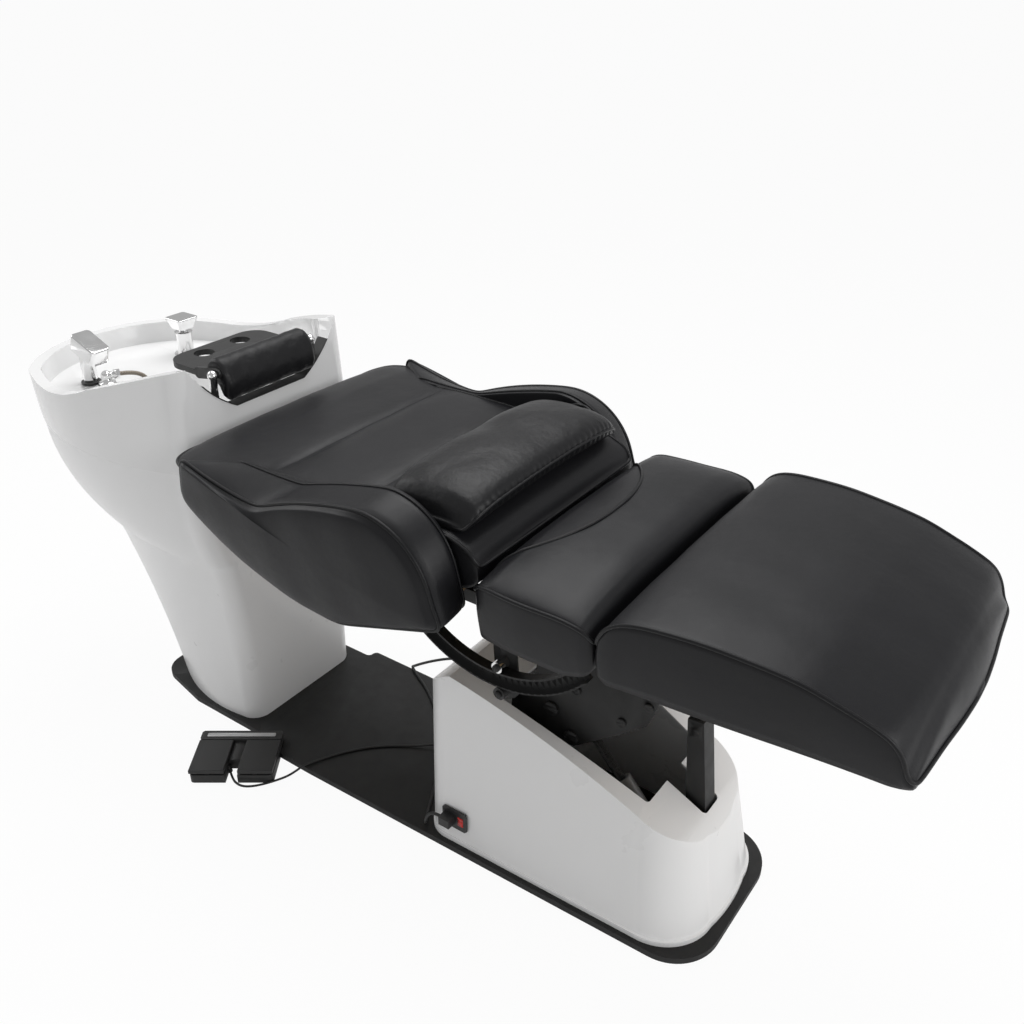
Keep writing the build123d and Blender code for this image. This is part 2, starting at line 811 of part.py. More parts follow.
# Glazed basin: hollow below, a deck and a bowl above, the front rim raised with a neck cut-out
with BuildPart() as basin_room:
    stand_loft(basin_shares, rim_wall)
    block(stand_x_span, stand_y_span, (seam_height - overrun, deck_height), Mode.SUBTRACT)
with BuildPart() as basin_underside:
    stand_loft(basin_shares, bowl_wall)
    block(stand_x_span, stand_y_span, (deck_height - deck_thickness, stand_top), Mode.SUBTRACT)
with BuildPart() as basin:
    stand_loft(basin_shares, 0)
    add(basin_underside.part, mode=Mode.SUBTRACT)
    bowl_loft(bowl_wall)
    add(basin_room.part, mode=Mode.SUBTRACT)
    bowl_loft(0, Mode.SUBTRACT)
    rim_cut()
    notch_span = (stand_front_x - rim_wall - overrun, stand_front_x + overrun)
    notch_cut(0, notch_span, stand_top, Mode.SUBTRACT)
    bowl_bottom = bowl_floor_height - bowl_wall
    post(drain_x, 0, (bowl_bottom - overrun, deck_height), drain_radius + touch_gap, Mode.SUBTRACT)
    post(
        drain_x, 0, (bowl_floor_height - drain_rim_thickness, deck_height),
        drain_rim_radius + touch_gap, Mode.SUBTRACT,
    )
    deck_low = deck_height - deck_thickness
    deck_span = (deck_low - overrun, deck_height + overrun)
    post(mixer_x, mixer_y, deck_span, mixer_shank_radius + touch_gap, Mode.SUBTRACT)
    post(elbow_x, elbow_y, deck_span, elbow_shank_radius + touch_gap, Mode.SUBTRACT)
    post(handset_x, handset_y, deck_span, handset_radius + sleeve_wall + touch_gap, Mode.SUBTRACT)
    post(grommet_x, grommet_y, deck_span, grommet_bore + sleeve_wall, Mode.SUBTRACT)
    for side in (-1, 1):
        post(
            neck_bar_x, side * neck_post_y, (neck_post_foot_height, stand_top),
            neck_post_radius + touch_gap, Mode.SUBTRACT,
        )
finish(basin, "basin")

# Dark trim in the neck cut-out
trim_span = (stand_front_x - rim_wall - trim_lip, stand_front_x + trim_lip)
with BuildPart() as notch_trim:
    notch_cut(touch_gap, trim_span, stand_top, Mode.ADD)
    notch_cut(trim_thickness, (trim_span[0] - overrun, trim_span[1] + overrun), stand_top, Mode.SUBTRACT)
    block(
        (trim_span[0] - overrun, trim_span[1] + overrun), stand_y_span,
        (trim_top_height, stand_top + overrun), Mode.SUBTRACT,
    )
    for side in (-1, 1):
        post(
            neck_bar_x, side * neck_post_y, (neck_post_foot_height, stand_top),
            neck_post_radius + touch_gap, Mode.SUBTRACT,
        )
finish(notch_trim, "notch_trim")

# Drain, trap and waste pipe
drain_top = bowl_floor_height
drain_low = drain_top - drain_tail_length
trap_low = drain_low - trap_height
with BuildPart() as basin_drain:
    post(drain_x, 0, (drain_top - drain_rim_thickness, drain_top), drain_rim_radius)
    post(drain_x, 0, (drain_low, drain_top), drain_radius)
    post(
        drain_x, 0, (bowl_bottom - drain_nut_height, bowl_bottom), drain_rim_radius,
    )
    post(drain_x, 0, (drain_low, drain_top), drain_radius - drain_wall, Mode.SUBTRACT)
    for x_half, y_half in ((drain_radius, drain_cross_width / 2), (drain_cross_width / 2, drain_radius)):
        block(
            (drain_x - x_half + drain_wall / 2, drain_x + x_half - drain_wall / 2),
            (-y_half + drain_wall / 2, y_half - drain_wall / 2),
            (drain_top - strainer_depth - drain_cross_width, drain_top - strainer_depth),
        )
finish(basin_drain, "basin_drain")

with BuildPart() as basin_strainer:
    strainer_radius = drain_radius - drain_wall - running_gap
    strainer_low = drain_top - strainer_depth
    post(drain_x, 0, (strainer_low, drain_top), strainer_radius)
    post(
        drain_x, 0, (strainer_low + drain_wall, drain_top), strainer_radius - drain_wall / 2,
        Mode.SUBTRACT,
    )
    post(drain_x, 0, (strainer_low, drain_top + strainer_pin_height), strainer_pin_radius)
    with BuildSketch(Plane.XY.offset(strainer_low)) as holes:
        with Locations((drain_x, 0)):
            with PolarLocations(strainer_radius / 2, strainer_hole_count):
                Circle(strainer_hole_radius)
    extrude(holes.sketch, amount=drain_wall, mode=Mode.SUBTRACT)
finish(basin_strainer, "basin_strainer")

with BuildPart() as drain_trap:
    post(drain_x, 0, (trap_low, drain_low), trap_radius)
    post(drain_x, 0, (trap_low + drain_wall, drain_low - drain_wall), trap_radius - drain_wall, Mode.SUBTRACT)
    post(drain_x, 0, (drain_low - drain_wall, drain_low), drain_radius - drain_wall, Mode.SUBTRACT)
    rod((drain_x, 0, waste_height), (waste_x, 0, waste_height), waste_radius)
    post(waste_x, 0, (0, waste_height), waste_radius)
    rod(
        (drain_x + trap_radius - drain_wall, 0, waste_height), (waste_x, 0, waste_height),
        waste_radius - drain_wall, Mode.SUBTRACT,
    )
    post(waste_x, 0, (0, waste_height), waste_radius - drain_wall, Mode.SUBTRACT)
finish(drain_trap, "drain_trap")

# Mixer: a body on the deck, a neck that turns for heat, a cap that tips for flow
mixer_top = deck_height + mixer_flange_height + mixer_body_height
with BuildPart() as mixer_body:
    post(mixer_x, mixer_y, (deck_height, deck_height + mixer_flange_height), mixer_flange_radius)
    body_rows = (
        (deck_height + mixer_flange_height, mixer_body_radius),
        ((deck_height + mixer_flange_height + mixer_top) / 2, mixer_body_waist),
        (mixer_top, mixer_body_radius),
    )
    rings = []
    for height, radius in body_rows:
        with BuildSketch(Plane.XY.offset(height)) as ring:
            with Locations((mixer_x, mixer_y)):
                Circle(radius)
        rings.append(ring.sketch)
    loft(rings)
    post(mixer_x, mixer_y, (deck_low - mixer_nut_height, deck_height), mixer_shank_radius)
    post(mixer_x, mixer_y, (deck_low - mixer_nut_height, deck_low), mixer_nut_radius)
    for side in (-1, 1):
        post(
            mixer_x, mixer_y + side * mixer_shank_radius / 2,
            (deck_low - mixer_nut_height - supply_mount_height, deck_low), supply_radius,
        )
finish(mixer_body, "mixer_body")

cartridge_top = mixer_top + cartridge_height
spindle_top = cartridge_top + cartridge_spindle_height
mixer_pin_height = cartridge_top + cartridge_spindle_height / 2
with BuildPart() as mixer_cartridge:
    post(mixer_x, mixer_y, (mixer_top, cartridge_top), cartridge_radius)
    post(mixer_x, mixer_y, (cartridge_top, spindle_top), cartridge_spindle_radius)
    rod(
        (mixer_x, mixer_y - mixer_pin_length / 2, mixer_pin_height),
        (mixer_x, mixer_y + mixer_pin_length / 2, mixer_pin_height), mixer_pin_radius,
    )
finish(mixer_cartridge, "mixer_cartridge")

cap_low = cartridge_top + side_gap
with BuildPart() as mixer_lever:
    cap_sections = []
    for height, width in ((cap_low, mixer_cap_width), (cap_low + mixer_cap_height, mixer_cap_top_width)):
        with BuildSketch(Plane.XY.offset(height)) as section:
            with Locations((mixer_x, mixer_y)):
                RectangleRounded(width, width, mixer_cap_corner)
        cap_sections.append(section.sketch)
    loft(cap_sections)
    top_edges = mixer_lever.faces().sort_by(Axis.Z)[-1].edges()
    fillet(top_edges, mixer_cap_corner / 4)
    post(
        mixer_x, mixer_y, (cap_low, cap_low + mixer_pocket_depth + mixer_pocket_depth / 2),
        mixer_pocket_radius, Mode.SUBTRACT,
    )
    rod(
        (mixer_x, mixer_y - mixer_pin_length / 2 - running_gap, mixer_pin_height),
        (mixer_x, mixer_y + mixer_pin_length / 2 + running_gap, mixer_pin_height),
        mixer_pin_radius + running_gap, Mode.SUBTRACT,
    )
finish(mixer_lever, "mixer_lever")

# Outlet elbow: its arm points at the start of the hose
arm_way = (Vector(*hose_points[1]) - Vector(*hose_points[0])).normalized()
nut_start = Vector(*hose_points[0]) - arm_way * elbow_nut_length
elbow_foot = deck_height + elbow_gasket_height
with BuildPart() as shower_elbow:
    post(elbow_x, elbow_y, (elbow_foot, elbow_foot + elbow_flange_height), elbow_flange_radius)
    post(elbow_x, elbow_y, (elbow_foot, elbow_height), elbow_radius)
    with Locations((elbow_x, elbow_y, elbow_height)):
        Sphere(elbow_radius)
    rod((elbow_x, elbow_y, elbow_height), tuple(nut_start), hose_radius + drain_wall)
    post(elbow_x, elbow_y, (deck_low - mixer_nut_height, elbow_foot), elbow_shank_radius)
    post(elbow_x, elbow_y, (deck_low - mixer_nut_height, deck_low), elbow_flange_radius)
    with BuildSketch(Plane(origin=nut_start, z_dir=arm_way)) as hexagon:
        RegularPolygon(elbow_nut_radius, 6)
    extrude(hexagon.sketch, amount=elbow_nut_length)
finish(shower_elbow, "shower_elbow")

with BuildPart() as deck_seals:
    post(elbow_x, elbow_y, (deck_height, elbow_foot), elbow_flange_radius + side_gap)
    post(elbow_x, elbow_y, (deck_height, elbow_foot), elbow_shank_radius + touch_gap, Mode.SUBTRACT)
    post(grommet_x, grommet_y, (deck_height, deck_height + elbow_gasket_height), grommet_radius)
    post(grommet_x, grommet_y, (deck_low, deck_height), grommet_bore + sleeve_wall)
    post(
        grommet_x, grommet_y, (deck_low - overrun, deck_height + overrun), grommet_bore,
        Mode.SUBTRACT,
    )
finish(deck_seals, "deck_seals")

with BuildPart() as shower_hose:
    tube(hose_points, hose_radius)
finish(shower_hose, "shower_hose")

# Hand shower standing in its sleeve
sleeve_top = deck_height + sleeve_height
handset_low = deck_height - handset_foot
sleeve_bore = handset_radius + running_gap
with BuildPart() as handset_sleeve:
    post(handset_x, handset_y, (deck_height, sleeve_top), sleeve_radius)
    post(handset_x, handset_y, (handset_low - sleeve_lip, deck_height), handset_radius + sleeve_wall)
    post(handset_x, handset_y, (handset_low, sleeve_top), sleeve_bore, Mode.SUBTRACT)
    post(
        handset_x, handset_y, (handset_low - sleeve_lip, handset_low),
        handset_nipple_radius + touch_gap, Mode.SUBTRACT,
    )
finish(handset_sleeve, "handset_sleeve")

handset_top = deck_height + handset_height
head_plane = Plane(
    origin=(handset_x, handset_y, handset_top), x_dir=(1, 0, 0), z_dir=(0, 0, 1)
).rotated((0, handset_head_angle, 0))
with BuildPart() as shower_handset:
    post(handset_x, handset_y, (handset_low, handset_top), handset_radius)
    post(
        handset_x, handset_y, (handset_low - handset_nipple_length, handset_low),
        handset_nipple_radius,
    )
    with BuildSketch(head_plane) as head:
        with Locations((handset_head_length * (1 / 2 - handset_head_share), 0)):
            RectangleRounded(handset_head_length, handset_head_width, handset_head_corner)
    head_solid = extrude(head.sketch, amount=handset_head_thickness)
    fillet(
        shower_handset.edges().filter_by(
            lambda edge: edge.center().Z > handset_top + handset_head_thickness / 3
        ),
        handset_head_corner / 3,
    )
finish(shower_handset, "shower_handset")

# Neck rest: a bar on two posts, with a soft sling and a head tray that tip on the bar
with BuildPart() as neck_brackets:
    cross_rod((neck_bar_x, neck_bar_height), (-neck_post_y, neck_post_y), neck_bar_radius)
    for side in (-1, 1):
        y = side * neck_post_y
        post(neck_bar_x, y, (neck_post_foot_height, neck_bar_height), neck_post_radius)
        with Locations((neck_bar_x, y, neck_bar_height)):
            Sphere(neck_cap_radius)
finish(neck_brackets, "neck_brackets")

bar_bore = neck_bar_radius + running_gap
with BuildPart() as neck_sling:
    x_span = (sling_rear_x, sling_front_x)
    z_span = (sling_low_height, sling_top_height)
    centre = (neck_bar_x, neck_bar_height)
    sling_sections = []
    for place, size in sling_row_shares:
        spots = [
            (centre[0] + (along(x_span, part[0]) - centre[0]) * size,
             centre[1] + (along(z_span, part[1]) - centre[1]) * size)
            for part in sling_outline_shares
        ]
        with BuildSketch(Plane.XZ.offset(-sling_half * place)) as section:
            with BuildLine():
                ThreePointArc(spots[0], spots[1], spots[2])
                ThreePointArc(spots[2], spots[3], spots[4])
                Line(spots[4], spots[5])
                ThreePointArc(spots[5], spots[6], spots[7])
                Line(spots[7], spots[0])
            make_face()
        sling_sections.append(section.sketch)
    loft(sling_sections, ruled=True)
    cross_rod(centre, (-sling_half - overrun, sling_half + overrun), bar_bore + touch_gap, Mode.SUBTRACT)
finish(neck_sling, "neck_sling")

tray_low = tray_top_height - tray_thickness
tray_middle_height = tray_low + tray_thickness / 2
with BuildPart() as head_tray:
    block((tray_rear_x, sling_rear_x), (-tray_half, tray_half), (tray_low, tray_top_height))
    fillet(head_tray.edges().filter_by(Axis.Z).group_by(Axis.X)[0], tray_corner)
    for side in (-1, 1):
        post(
            tray_hole_x, side * tray_hole_half_y, (tray_low, tray_top_height), tray_hole_radius,
            Mode.SUBTRACT,
        )
    for y_span in both(sling_half + side_gap, sling_half + side_gap + tray_lug_width):
        link_bar((sling_rear_x - tray_lug_tall, tray_middle_height), centre, tray_lug_tall, y_span)
        cross_rod(centre, y_span, bar_bore, Mode.SUBTRACT)
finish(head_tray, "head_tray")


def cover_section(height, spans, halves, corners, bow, inset):
    """One plan section of the base cover, drawn in by the inset."""
    rear, front = spans[0] + inset, spans[1] - inset
    rear_y, front_y = halves[0] - inset, halves[1] - inset
    rear_corner, front_corner = corners[0] - inset, corners[1] - inset
    rear_cut = rear_corner * (1 - diagonal_share)
    front_cut = front_corner * (1 - diagonal_share)
    rear_end = (rear, rear_y - rear_corner)
    rear_bend = (rear + rear_cut, rear_y - rear_cut)
    rear_side = (rear + rear_corner, rear_y)
    front_side = (front - front_corner, front_y)
    front_bend = (front - front_cut, front_y - front_cut)
    front_end = (front, front_y - front_corner)
    with BuildSketch(Plane.XY.offset(height)) as section:
        with BuildLine():
            Line(far(rear_end), rear_end)
            ThreePointArc(rear_end, rear_bend, rear_side)
            Line(rear_side, front_side)
            ThreePointArc(front_side, front_bend, front_end)
            ThreePointArc(front_end, (front + bow, 0), far(front_end))
            ThreePointArc(far(front_end), far(front_bend), far(front_side))
            Line(far(front_side), far(rear_side))
            ThreePointArc(far(rear_side), far(rear_bend), far(rear_end))
        make_face()
    return section.sketch


def cover_foot_section(height, inset):
    return cover_section(
        height, (cover_rear_x, cover_front_x), (cover_rear_half, cover_front_half),
        (cover_rear_corner, cover_front_corner), cover_bow, inset,
    )


def cover_top_section(inset):
    return cover_section(
        cover_loft_height, (cover_top_rear_x, cover_top_front_x),
        (cover_top_rear_half, cover_top_front_half),
        (cover_rear_corner, cover_top_corner), cover_bow, inset,
    )


def cover_top_cut(drop):
    """Everything above the cover's long profile, which falls from its crown to its nose."""
    shoulder = (cover_rear_x - overrun / 4, cover_shoulder_height - drop)
    crown = (cover_crown_x, cover_crown_height - drop)
    nose = (cover_nose_x - drop / 2, cover_nose_height - drop)
    foot = (cover_front_x + cover_bow, cover_nose_low_height - drop)
    top = cover_loft_height + overrun
    with BuildSketch(Plane.XZ.offset(-cover_rear_half - overrun)) as profile:
        with BuildLine():
            ThreePointArc(shoulder, bulged(shoulder, crown, cover_shoulder_swell), crown)
            ThreePointArc(crown, bulged(crown, nose, cover_swell), nose)
            ThreePointArc(nose, bulged(nose, foot, cover_nose_swell), foot)
            Polyline(
                foot, (cover_front_x + overrun, foot[1]), (cover_front_x + overrun, top),
                (cover_rear_x - overrun, top), (cover_rear_x - overrun, shoulder[1]), shoulder,
            )
        make_face()
    extrude(profile.sketch, amount=2 * (cover_rear_half + overrun), mode=Mode.SUBTRACT)


def bulged(start, end, swell):
    """The middle of an arc that stands above its chord by the swell."""
    way = Vector(end[0] - start[0], end[1] - start[1]).normalized()
    spot = middle_point(start, end)
    return (spot[0] - way.Y * swell, spot[1] + way.X * swell)


def cover_side(x, height):
    """The cover's half-width at a place on its straight side."""
    foot_span = (cover_rear_x + cover_rear_corner, cover_front_x - cover_front_corner)
    top_span = (cover_top_rear_x + cover_rear_corner, cover_top_front_x - cover_top_corner)
    foot_part = (x - foot_span[0]) / extent(foot_span)
    top_part = (x - top_span[0]) / extent(top_span)
    foot = along((cover_rear_half, cover_front_half), foot_part)
    top = along((cover_top_rear_half, cover_top_front_half), top_part)
    return along((foot, top), (height - plate_thickness) / (cover_loft_height - plate_thickness))


# Moulded base cover with its slot for the lift
inlet_z_span = (inlet_height - inlet_tall / 2, inlet_height + inlet_tall / 2)
inlet_x_span = (inlet_x - inlet_width / 2, inlet_x + inlet_width / 2)
inlet_face_y = -cover_side(inlet_x_span[0], inlet_z_span[0]) - touch_gap
with BuildPart() as cover_core:
    loft([cover_foot_section(plate_thickness, cover_wall), cover_top_section(cover_wall)], ruled=True)
    cover_top_cut(cover_wall)
with BuildPart() as base_cover:
    loft([cover_foot_section(plate_thickness, 0), cover_top_section(0)], ruled=True)
    cover_top_cut(0)
    extrude(cover_foot_section(plate_thickness, -cover_foot_reach), amount=cover_foot_height)
    with BuildSketch(Plane.XY.offset(cover_nose_low_height + overrun)) as slot:
        with BuildLine():
            Polyline(
                (slot_rear_x, -slot_rear_half), (slot_front_x, -slot_front_half),
                (slot_front_x, slot_front_half), (slot_rear_x, slot_rear_half), close=True,
            )
        make_face()
        fillet(slot.vertices(), slot_corner)
        with Locations(((slot_front_x + slot_nose_x) / 2 - slot_corner, 0)):
            RectangleRounded(slot_nose_x - slot_front_x + 2 * slot_corner, 2 * slot_nose_half, slot_corner)
    extrude(slot.sketch, amount=cover_loft_height, mode=Mode.SUBTRACT)
    block(
        (inlet_x_span[0] + inlet_margin - touch_gap, inlet_x_span[1] - inlet_margin + touch_gap),
        (inlet_face_y - overrun, inlet_face_y + overrun),
        (inlet_z_span[0] + inlet_margin - touch_gap, inlet_z_span[1] - inlet_margin + touch_gap),
        Mode.SUBTRACT,
    )
    add(cover_core.part, mode=Mode.SUBTRACT)
    block(
        (cover_rear_x - overrun, cover_rear_x + overrun),
        (gland_y - gland_radius - touch_gap, gland_y + gland_radius + touch_gap),
        (gland_height - gland_radius - touch_gap, gland_height + gland_radius + touch_gap), Mode.SUBTRACT,
    )
finish(base_cover, "base_cover")

# Power inlet on the near side, with its rocker switch and the plugged-in lead
socket_x = inlet_x + socket_shift
rocker_x = inlet_x + rocker_shift
inlet_back_y = inlet_face_y + inlet_depth
inlet_front_y = inlet_face_y - inlet_lip
with BuildPart() as power_inlet:
    block(inlet_x_span, (inlet_front_y, inlet_face_y), inlet_z_span)
    chamfer(power_inlet.edges().filter_by(Axis.Y), inlet_corner)
    block(
        (inlet_x_span[0] + inlet_margin, inlet_x_span[1] - inlet_margin),
        (inlet_face_y, inlet_back_y),
        (inlet_z_span[0] + inlet_margin, inlet_z_span[1] - inlet_margin),
    )
    block(
        (socket_x - socket_width / 2, socket_x + socket_width / 2),
        (inlet_front_y, inlet_face_y + socket_depth),
        (inlet_height - socket_tall / 2, inlet_height + socket_tall / 2), Mode.SUBTRACT,
    )
    block(
        (rocker_x - rocker_width / 2 - touch_gap, rocker_x + rocker_width / 2 + touch_gap),
        (inlet_front_y, inlet_face_y + rocker_depth),
        (inlet_height - rocker_tall / 2 - touch_gap, inlet_height + rocker_tall / 2 + touch_gap),
        Mode.SUBTRACT,
    )
    rocker_pin_y = inlet_front_y + rocker_proud
    rocker_pin = (rocker_x, rocker_pin_y, inlet_height)
    rod(
        (rocker_x - rocker_width / 2 - rocker_proud, rocker_pin_y, inlet_height),
        (rocker_x + rocker_width / 2 + rocker_proud, rocker_pin_y, inlet_height),
        rocker_pin_radius + running_gap, Mode.SUBTRACT,
    )
finish(power_inlet, "power_inlet")

with BuildPart() as power_switch:
    rocker_half = rocker_tall / 2 - touch_gap
    outer_y = inlet_front_y - rocker_proud
    with BuildSketch(Plane.YZ.offset(rocker_x - rocker_width / 2)) as rocker:
        with BuildLine():
            Polyline(
                (rocker_pin_y + rocker_proud, inlet_height - rocker_half + rocker_proud),
                (rocker_pin_y - rocker_proud, inlet_height - rocker_half),
                (outer_y, inlet_height - rocker_half + side_gap),
                (outer_y + rocker_proud, inlet_height),
                (outer_y, inlet_height + rocker_half - side_gap),
                (rocker_pin_y - rocker_proud, inlet_height + rocker_half),
                (rocker_pin_y + rocker_proud, inlet_height + rocker_half - rocker_proud),
                close=True,
            )
        make_face()
    extrude(rocker.sketch, amount=rocker_width)
    rod(
        (rocker_x - rocker_width / 2 - rocker_proud, rocker_pin_y, inlet_height),
        (rocker_x + rocker_width / 2 + rocker_proud, rocker_pin_y, inlet_height), rocker_pin_radius,
    )
finish(power_switch, "power_switch")

with BuildPart() as inlet_plug:
    block(
        (socket_x - socket_width / 2 + touch_gap, socket_x + socket_width / 2 - touch_gap),
        (inlet_front_y - plug_proud, inlet_face_y + socket_depth),
        (inlet_height - socket_tall / 2 + touch_gap, inlet_height + socket_tall / 2 - touch_gap),
    )
    fillet(inlet_plug.edges().group_by(Axis.Y)[0], side_gap)
    rod(mains_points[0], (socket_x, mains_points[0][1], mains_points[0][2]), mains_radius + side_gap)
finish(inlet_plug, "inlet_plug")

with BuildPart() as cable_gland:
    gland_x = cover_rear_x - cover_foot_reach - touch_gap
    gland_out = gland_x - gland_flange_thickness
    rod((gland_out, gland_y, gland_height), (gland_x, gland_y, gland_height), gland_flange_radius)
    rod(
        (gland_out - gland_nose, gland_y, gland_height), (gland_x + gland_nose, gland_y, gland_height),
        gland_radius,
    )
    gland_bore = pedal_cable_radius + running_gap
    rod(
        (gland_out - gland_nose, gland_y, gland_height), (gland_x, gland_y, gland_height),
        gland_bore, Mode.SUBTRACT,
    )
finish(cable_gland, "cable_gland")

# Lift geometry: places in X and Z
lift_run = turned(lift_arm_length, lift_rest_angle)
upper_main = (upper_pivot_x, upper_pivot_height)
lower_main = (upper_main[0] - lift_run[0], upper_main[1] - lift_run[1])
lower_second = (lower_main[0] + second_shift_x, lower_main[1] - second_drop)
upper_second = (upper_main[0] + second_shift_x, upper_main[1] - second_drop)
arm_near_y = upright_inner_y + upright_thickness + side_gap
arm_far_y = arm_near_y + arm_thickness
carriage_near_y = arm_far_y + carriage_gap
carriage_far_y = carriage_near_y + carriage_thickness
drive_foot = (drive_foot_x, drive_foot_height)
drive_pin = step_along(lower_second, upper_second, lift_arm_length * drive_pin_share)
ear_spans = both(eye_half_width + ear_gap, eye_half_width + ear_gap + ear_thickness)
strut_foot = (strut_foot_x, strut_foot_height)
strut_top = (strut_top_x, strut_top_height)
strut_side = strut_width / 2
tube_low = plate_thickness
tube_top = plate_thickness + rail_tube
tube_middle = (tube_low + tube_top) / 2
cross_tubes = [along((rail_rear_x, rail_front_x - rail_tube), part) for part in cross_tube_shares]
front_tube_x = cross_tubes[-1] + rail_tube / 2

# Base frame: rails and cross tubes on the plate, uprights for the arms, feet for the drives
with BuildPart() as base_frame:
    for y_span in both(rail_middle_y - rail_tube / 2, rail_middle_y + rail_tube / 2):
        block((rail_rear_x, rail_front_x), y_span, (tube_low, tube_top))
    for tube_x in cross_tubes:
        block((tube_x, tube_x + rail_tube), (-rail_middle_y, rail_middle_y), (tube_low, tube_top))
    for y_span in both(upright_inner_y, upright_inner_y + upright_thickness):
        link_bar((upright_rear_x, tube_middle), lower_main, upright_width, y_span)
        link_bar((upright_front_x, tube_middle), lower_second, upright_width, y_span)
        link_bar(lower_main, lower_second, upright_width, y_span)
        block(
            (upright_rear_x - upright_width, upright_front_x + upright_width), y_span, (0, tube_low),
            Mode.SUBTRACT,
        )
    for y_span in ear_spans:
        link_bar((front_tube_x, tube_middle), drive_foot, foot_width, y_span)
    for y_span in both(strut_side + side_gap, strut_side + side_gap + ear_thickness):
        link_bar((front_tube_x, tube_middle), strut_foot, foot_width, y_span)
finish(base_frame, "base_frame")


def headed_pins(place, y_low, y_high, radius, head_radius, head_height):
    """A pin on each side of the bed, with a head at its outer end."""
    for inner, outer in both(y_low, y_high):
        cross_rod(place, (inner, outer), radius)
    for y_span in both(y_high, y_high + head_height):
        cross_rod(place, y_span, head_radius)


def through_pin(place, half, radius, head_radius, head_height):
    """A pin right through the middle, with a head at each end."""
    cross_rod(place, (-half, half), radius)
    for y_span in both(half, half + head_height):
        cross_rod(place, y_span, head_radius)


def bore(place, y_spans, radius):
    for y_span in y_spans:
        cross_rod(place, y_span, radius, Mode.SUBTRACT)


# Pins that the base frame carries
pin_half = ear_spans[1][1]
strut_pin_half = strut_side + side_gap + ear_thickness
with BuildPart() as frame_pins:
    for place in (lower_main, lower_second):
        headed_pins(
            place, upright_inner_y + upright_thickness, arm_far_y + running_gap, pivot_radius,
            pivot_head_radius, pivot_head_height,
        )
    through_pin(drive_foot, pin_half, pin_radius, pin_head_radius, pin_head_height)
    through_pin(strut_foot, strut_pin_half, pin_radius, pin_head_radius, pin_head_height)
    for y_span in ear_spans:
        cross_rod(drive_foot, y_span, pin_radius + side_gap, Mode.SUBTRACT)
    for y_span in both(strut_side + side_gap, strut_pin_half):
        cross_rod(strut_foot, y_span, pin_radius + side_gap, Mode.SUBTRACT)
finish(frame_pins, "frame_pins")

arm_bore = pivot_radius + running_gap
arm_spans = both(arm_near_y, arm_far_y)
main_tube = step_along(lower_main, upper_main, lift_arm_length * arm_tube_share)
second_tube = step_along(lower_second, upper_second, lift_arm_length * second_tube_share)
with BuildPart() as main_arm:
    for y_span in arm_spans:
        link_bar(lower_main, upper_main, arm_width, y_span)
    cross_rod(main_tube, (-arm_near_y, arm_near_y), arm_tube_radius)
    bore(lower_main, arm_spans, arm_bore)
    bore(upper_main, arm_spans, arm_bore)
finish(main_arm, "main_arm")

with BuildPart() as second_arm:
    for y_span in arm_spans:
        link_bar(lower_second, upper_second, arm_width, y_span)
    cross_rod(second_tube, (-arm_near_y, arm_near_y), arm_tube_radius)
    for y_span in ear_spans:
        link_bar(second_tube, drive_pin, 2 * eye_radius, y_span)
    for y_span in both(ear_spans[1][1], ear_spans[1][1] + pin_head_height):
        cross_rod(drive_pin, y_span, pin_head_radius)
    bore(lower_second, arm_spans, arm_bore)
    bore(upper_second, arm_spans, arm_bore)
finish(second_arm, "second_arm")


def drive_tube(foot, end, length, radius):
    """A drive's outer tube with its foot eye, and its motor beside it on a gear case."""
    neck = step_along(foot, end, drive_neck)
    top = step_along(foot, end, length)
    link_bar(foot, neck, 2 * eye_radius, (-eye_half_width, eye_half_width))
    rod((neck[0], 0, neck[1]), (top[0], 0, top[1]), radius)
    cross_rod(foot, (-eye_half_width, eye_half_width), pin_radius + running_gap, Mode.SUBTRACT)
    return neck, top


def drive_motor(neck, top, radius, side):
    start = step_along(neck, top, drive_gear_width / 4)
    end = step_along(neck, top, drive_motor_length)
    gear_end = step_along(neck, top, drive_gear_width)
    offset = side * (radius + drive_motor_radius)
    rod((start[0], offset, start[1]), (end[0], offset, end[1]), drive_motor_radius)
    case_plane = Plane(
        origin=(start[0], offset / 2, start[1]), x_dir=(0, 1, 0), z_dir=direction(neck, top),
    )
    with BuildSketch(case_plane) as case:
        RectangleRounded(abs(offset) + 2 * drive_motor_radius, 2 * drive_motor_radius, drive_motor_radius / 2)
    extrude(case.sketch, amount=Vector(gear_end[0] - start[0], gear_end[1] - start[1]).length)


def drive_rod(start, end, radius):
    """A drive's rod with the flat eye that lies between the ears."""
    neck = step_along(end, start, eye_reach)
    rod((start[0], 0, start[1]), (neck[0], 0, neck[1]), radius)
    link_bar(
        step_along(end, start, eye_reach - eye_radius * 2 / 3), end, 2 * (eye_radius - ear_gap * 2),
        (-eye_half_width, eye_half_width),
    )
    cross_rod(end, (-eye_half_width, eye_half_width), eye_bore, Mode.SUBTRACT)


with BuildPart() as lift_motor:
    neck, top = drive_tube(drive_foot, drive_pin, drive_tube_length, drive_tube_radius)
    drive_motor(neck, top, drive_tube_radius, -1)
    rod((neck[0], 0, neck[1]), (top[0], 0, top[1]), drive_rod_radius + running_gap, Mode.SUBTRACT)
finish(lift_motor, "lift_motor")

with BuildPart() as lift_rod:
    lift_rod_start = step_along(drive_foot, drive_pin, drive_rod_start)
    drive_rod(lift_rod_start, drive_pin, drive_rod_radius)
finish(lift_rod, "lift_rod")

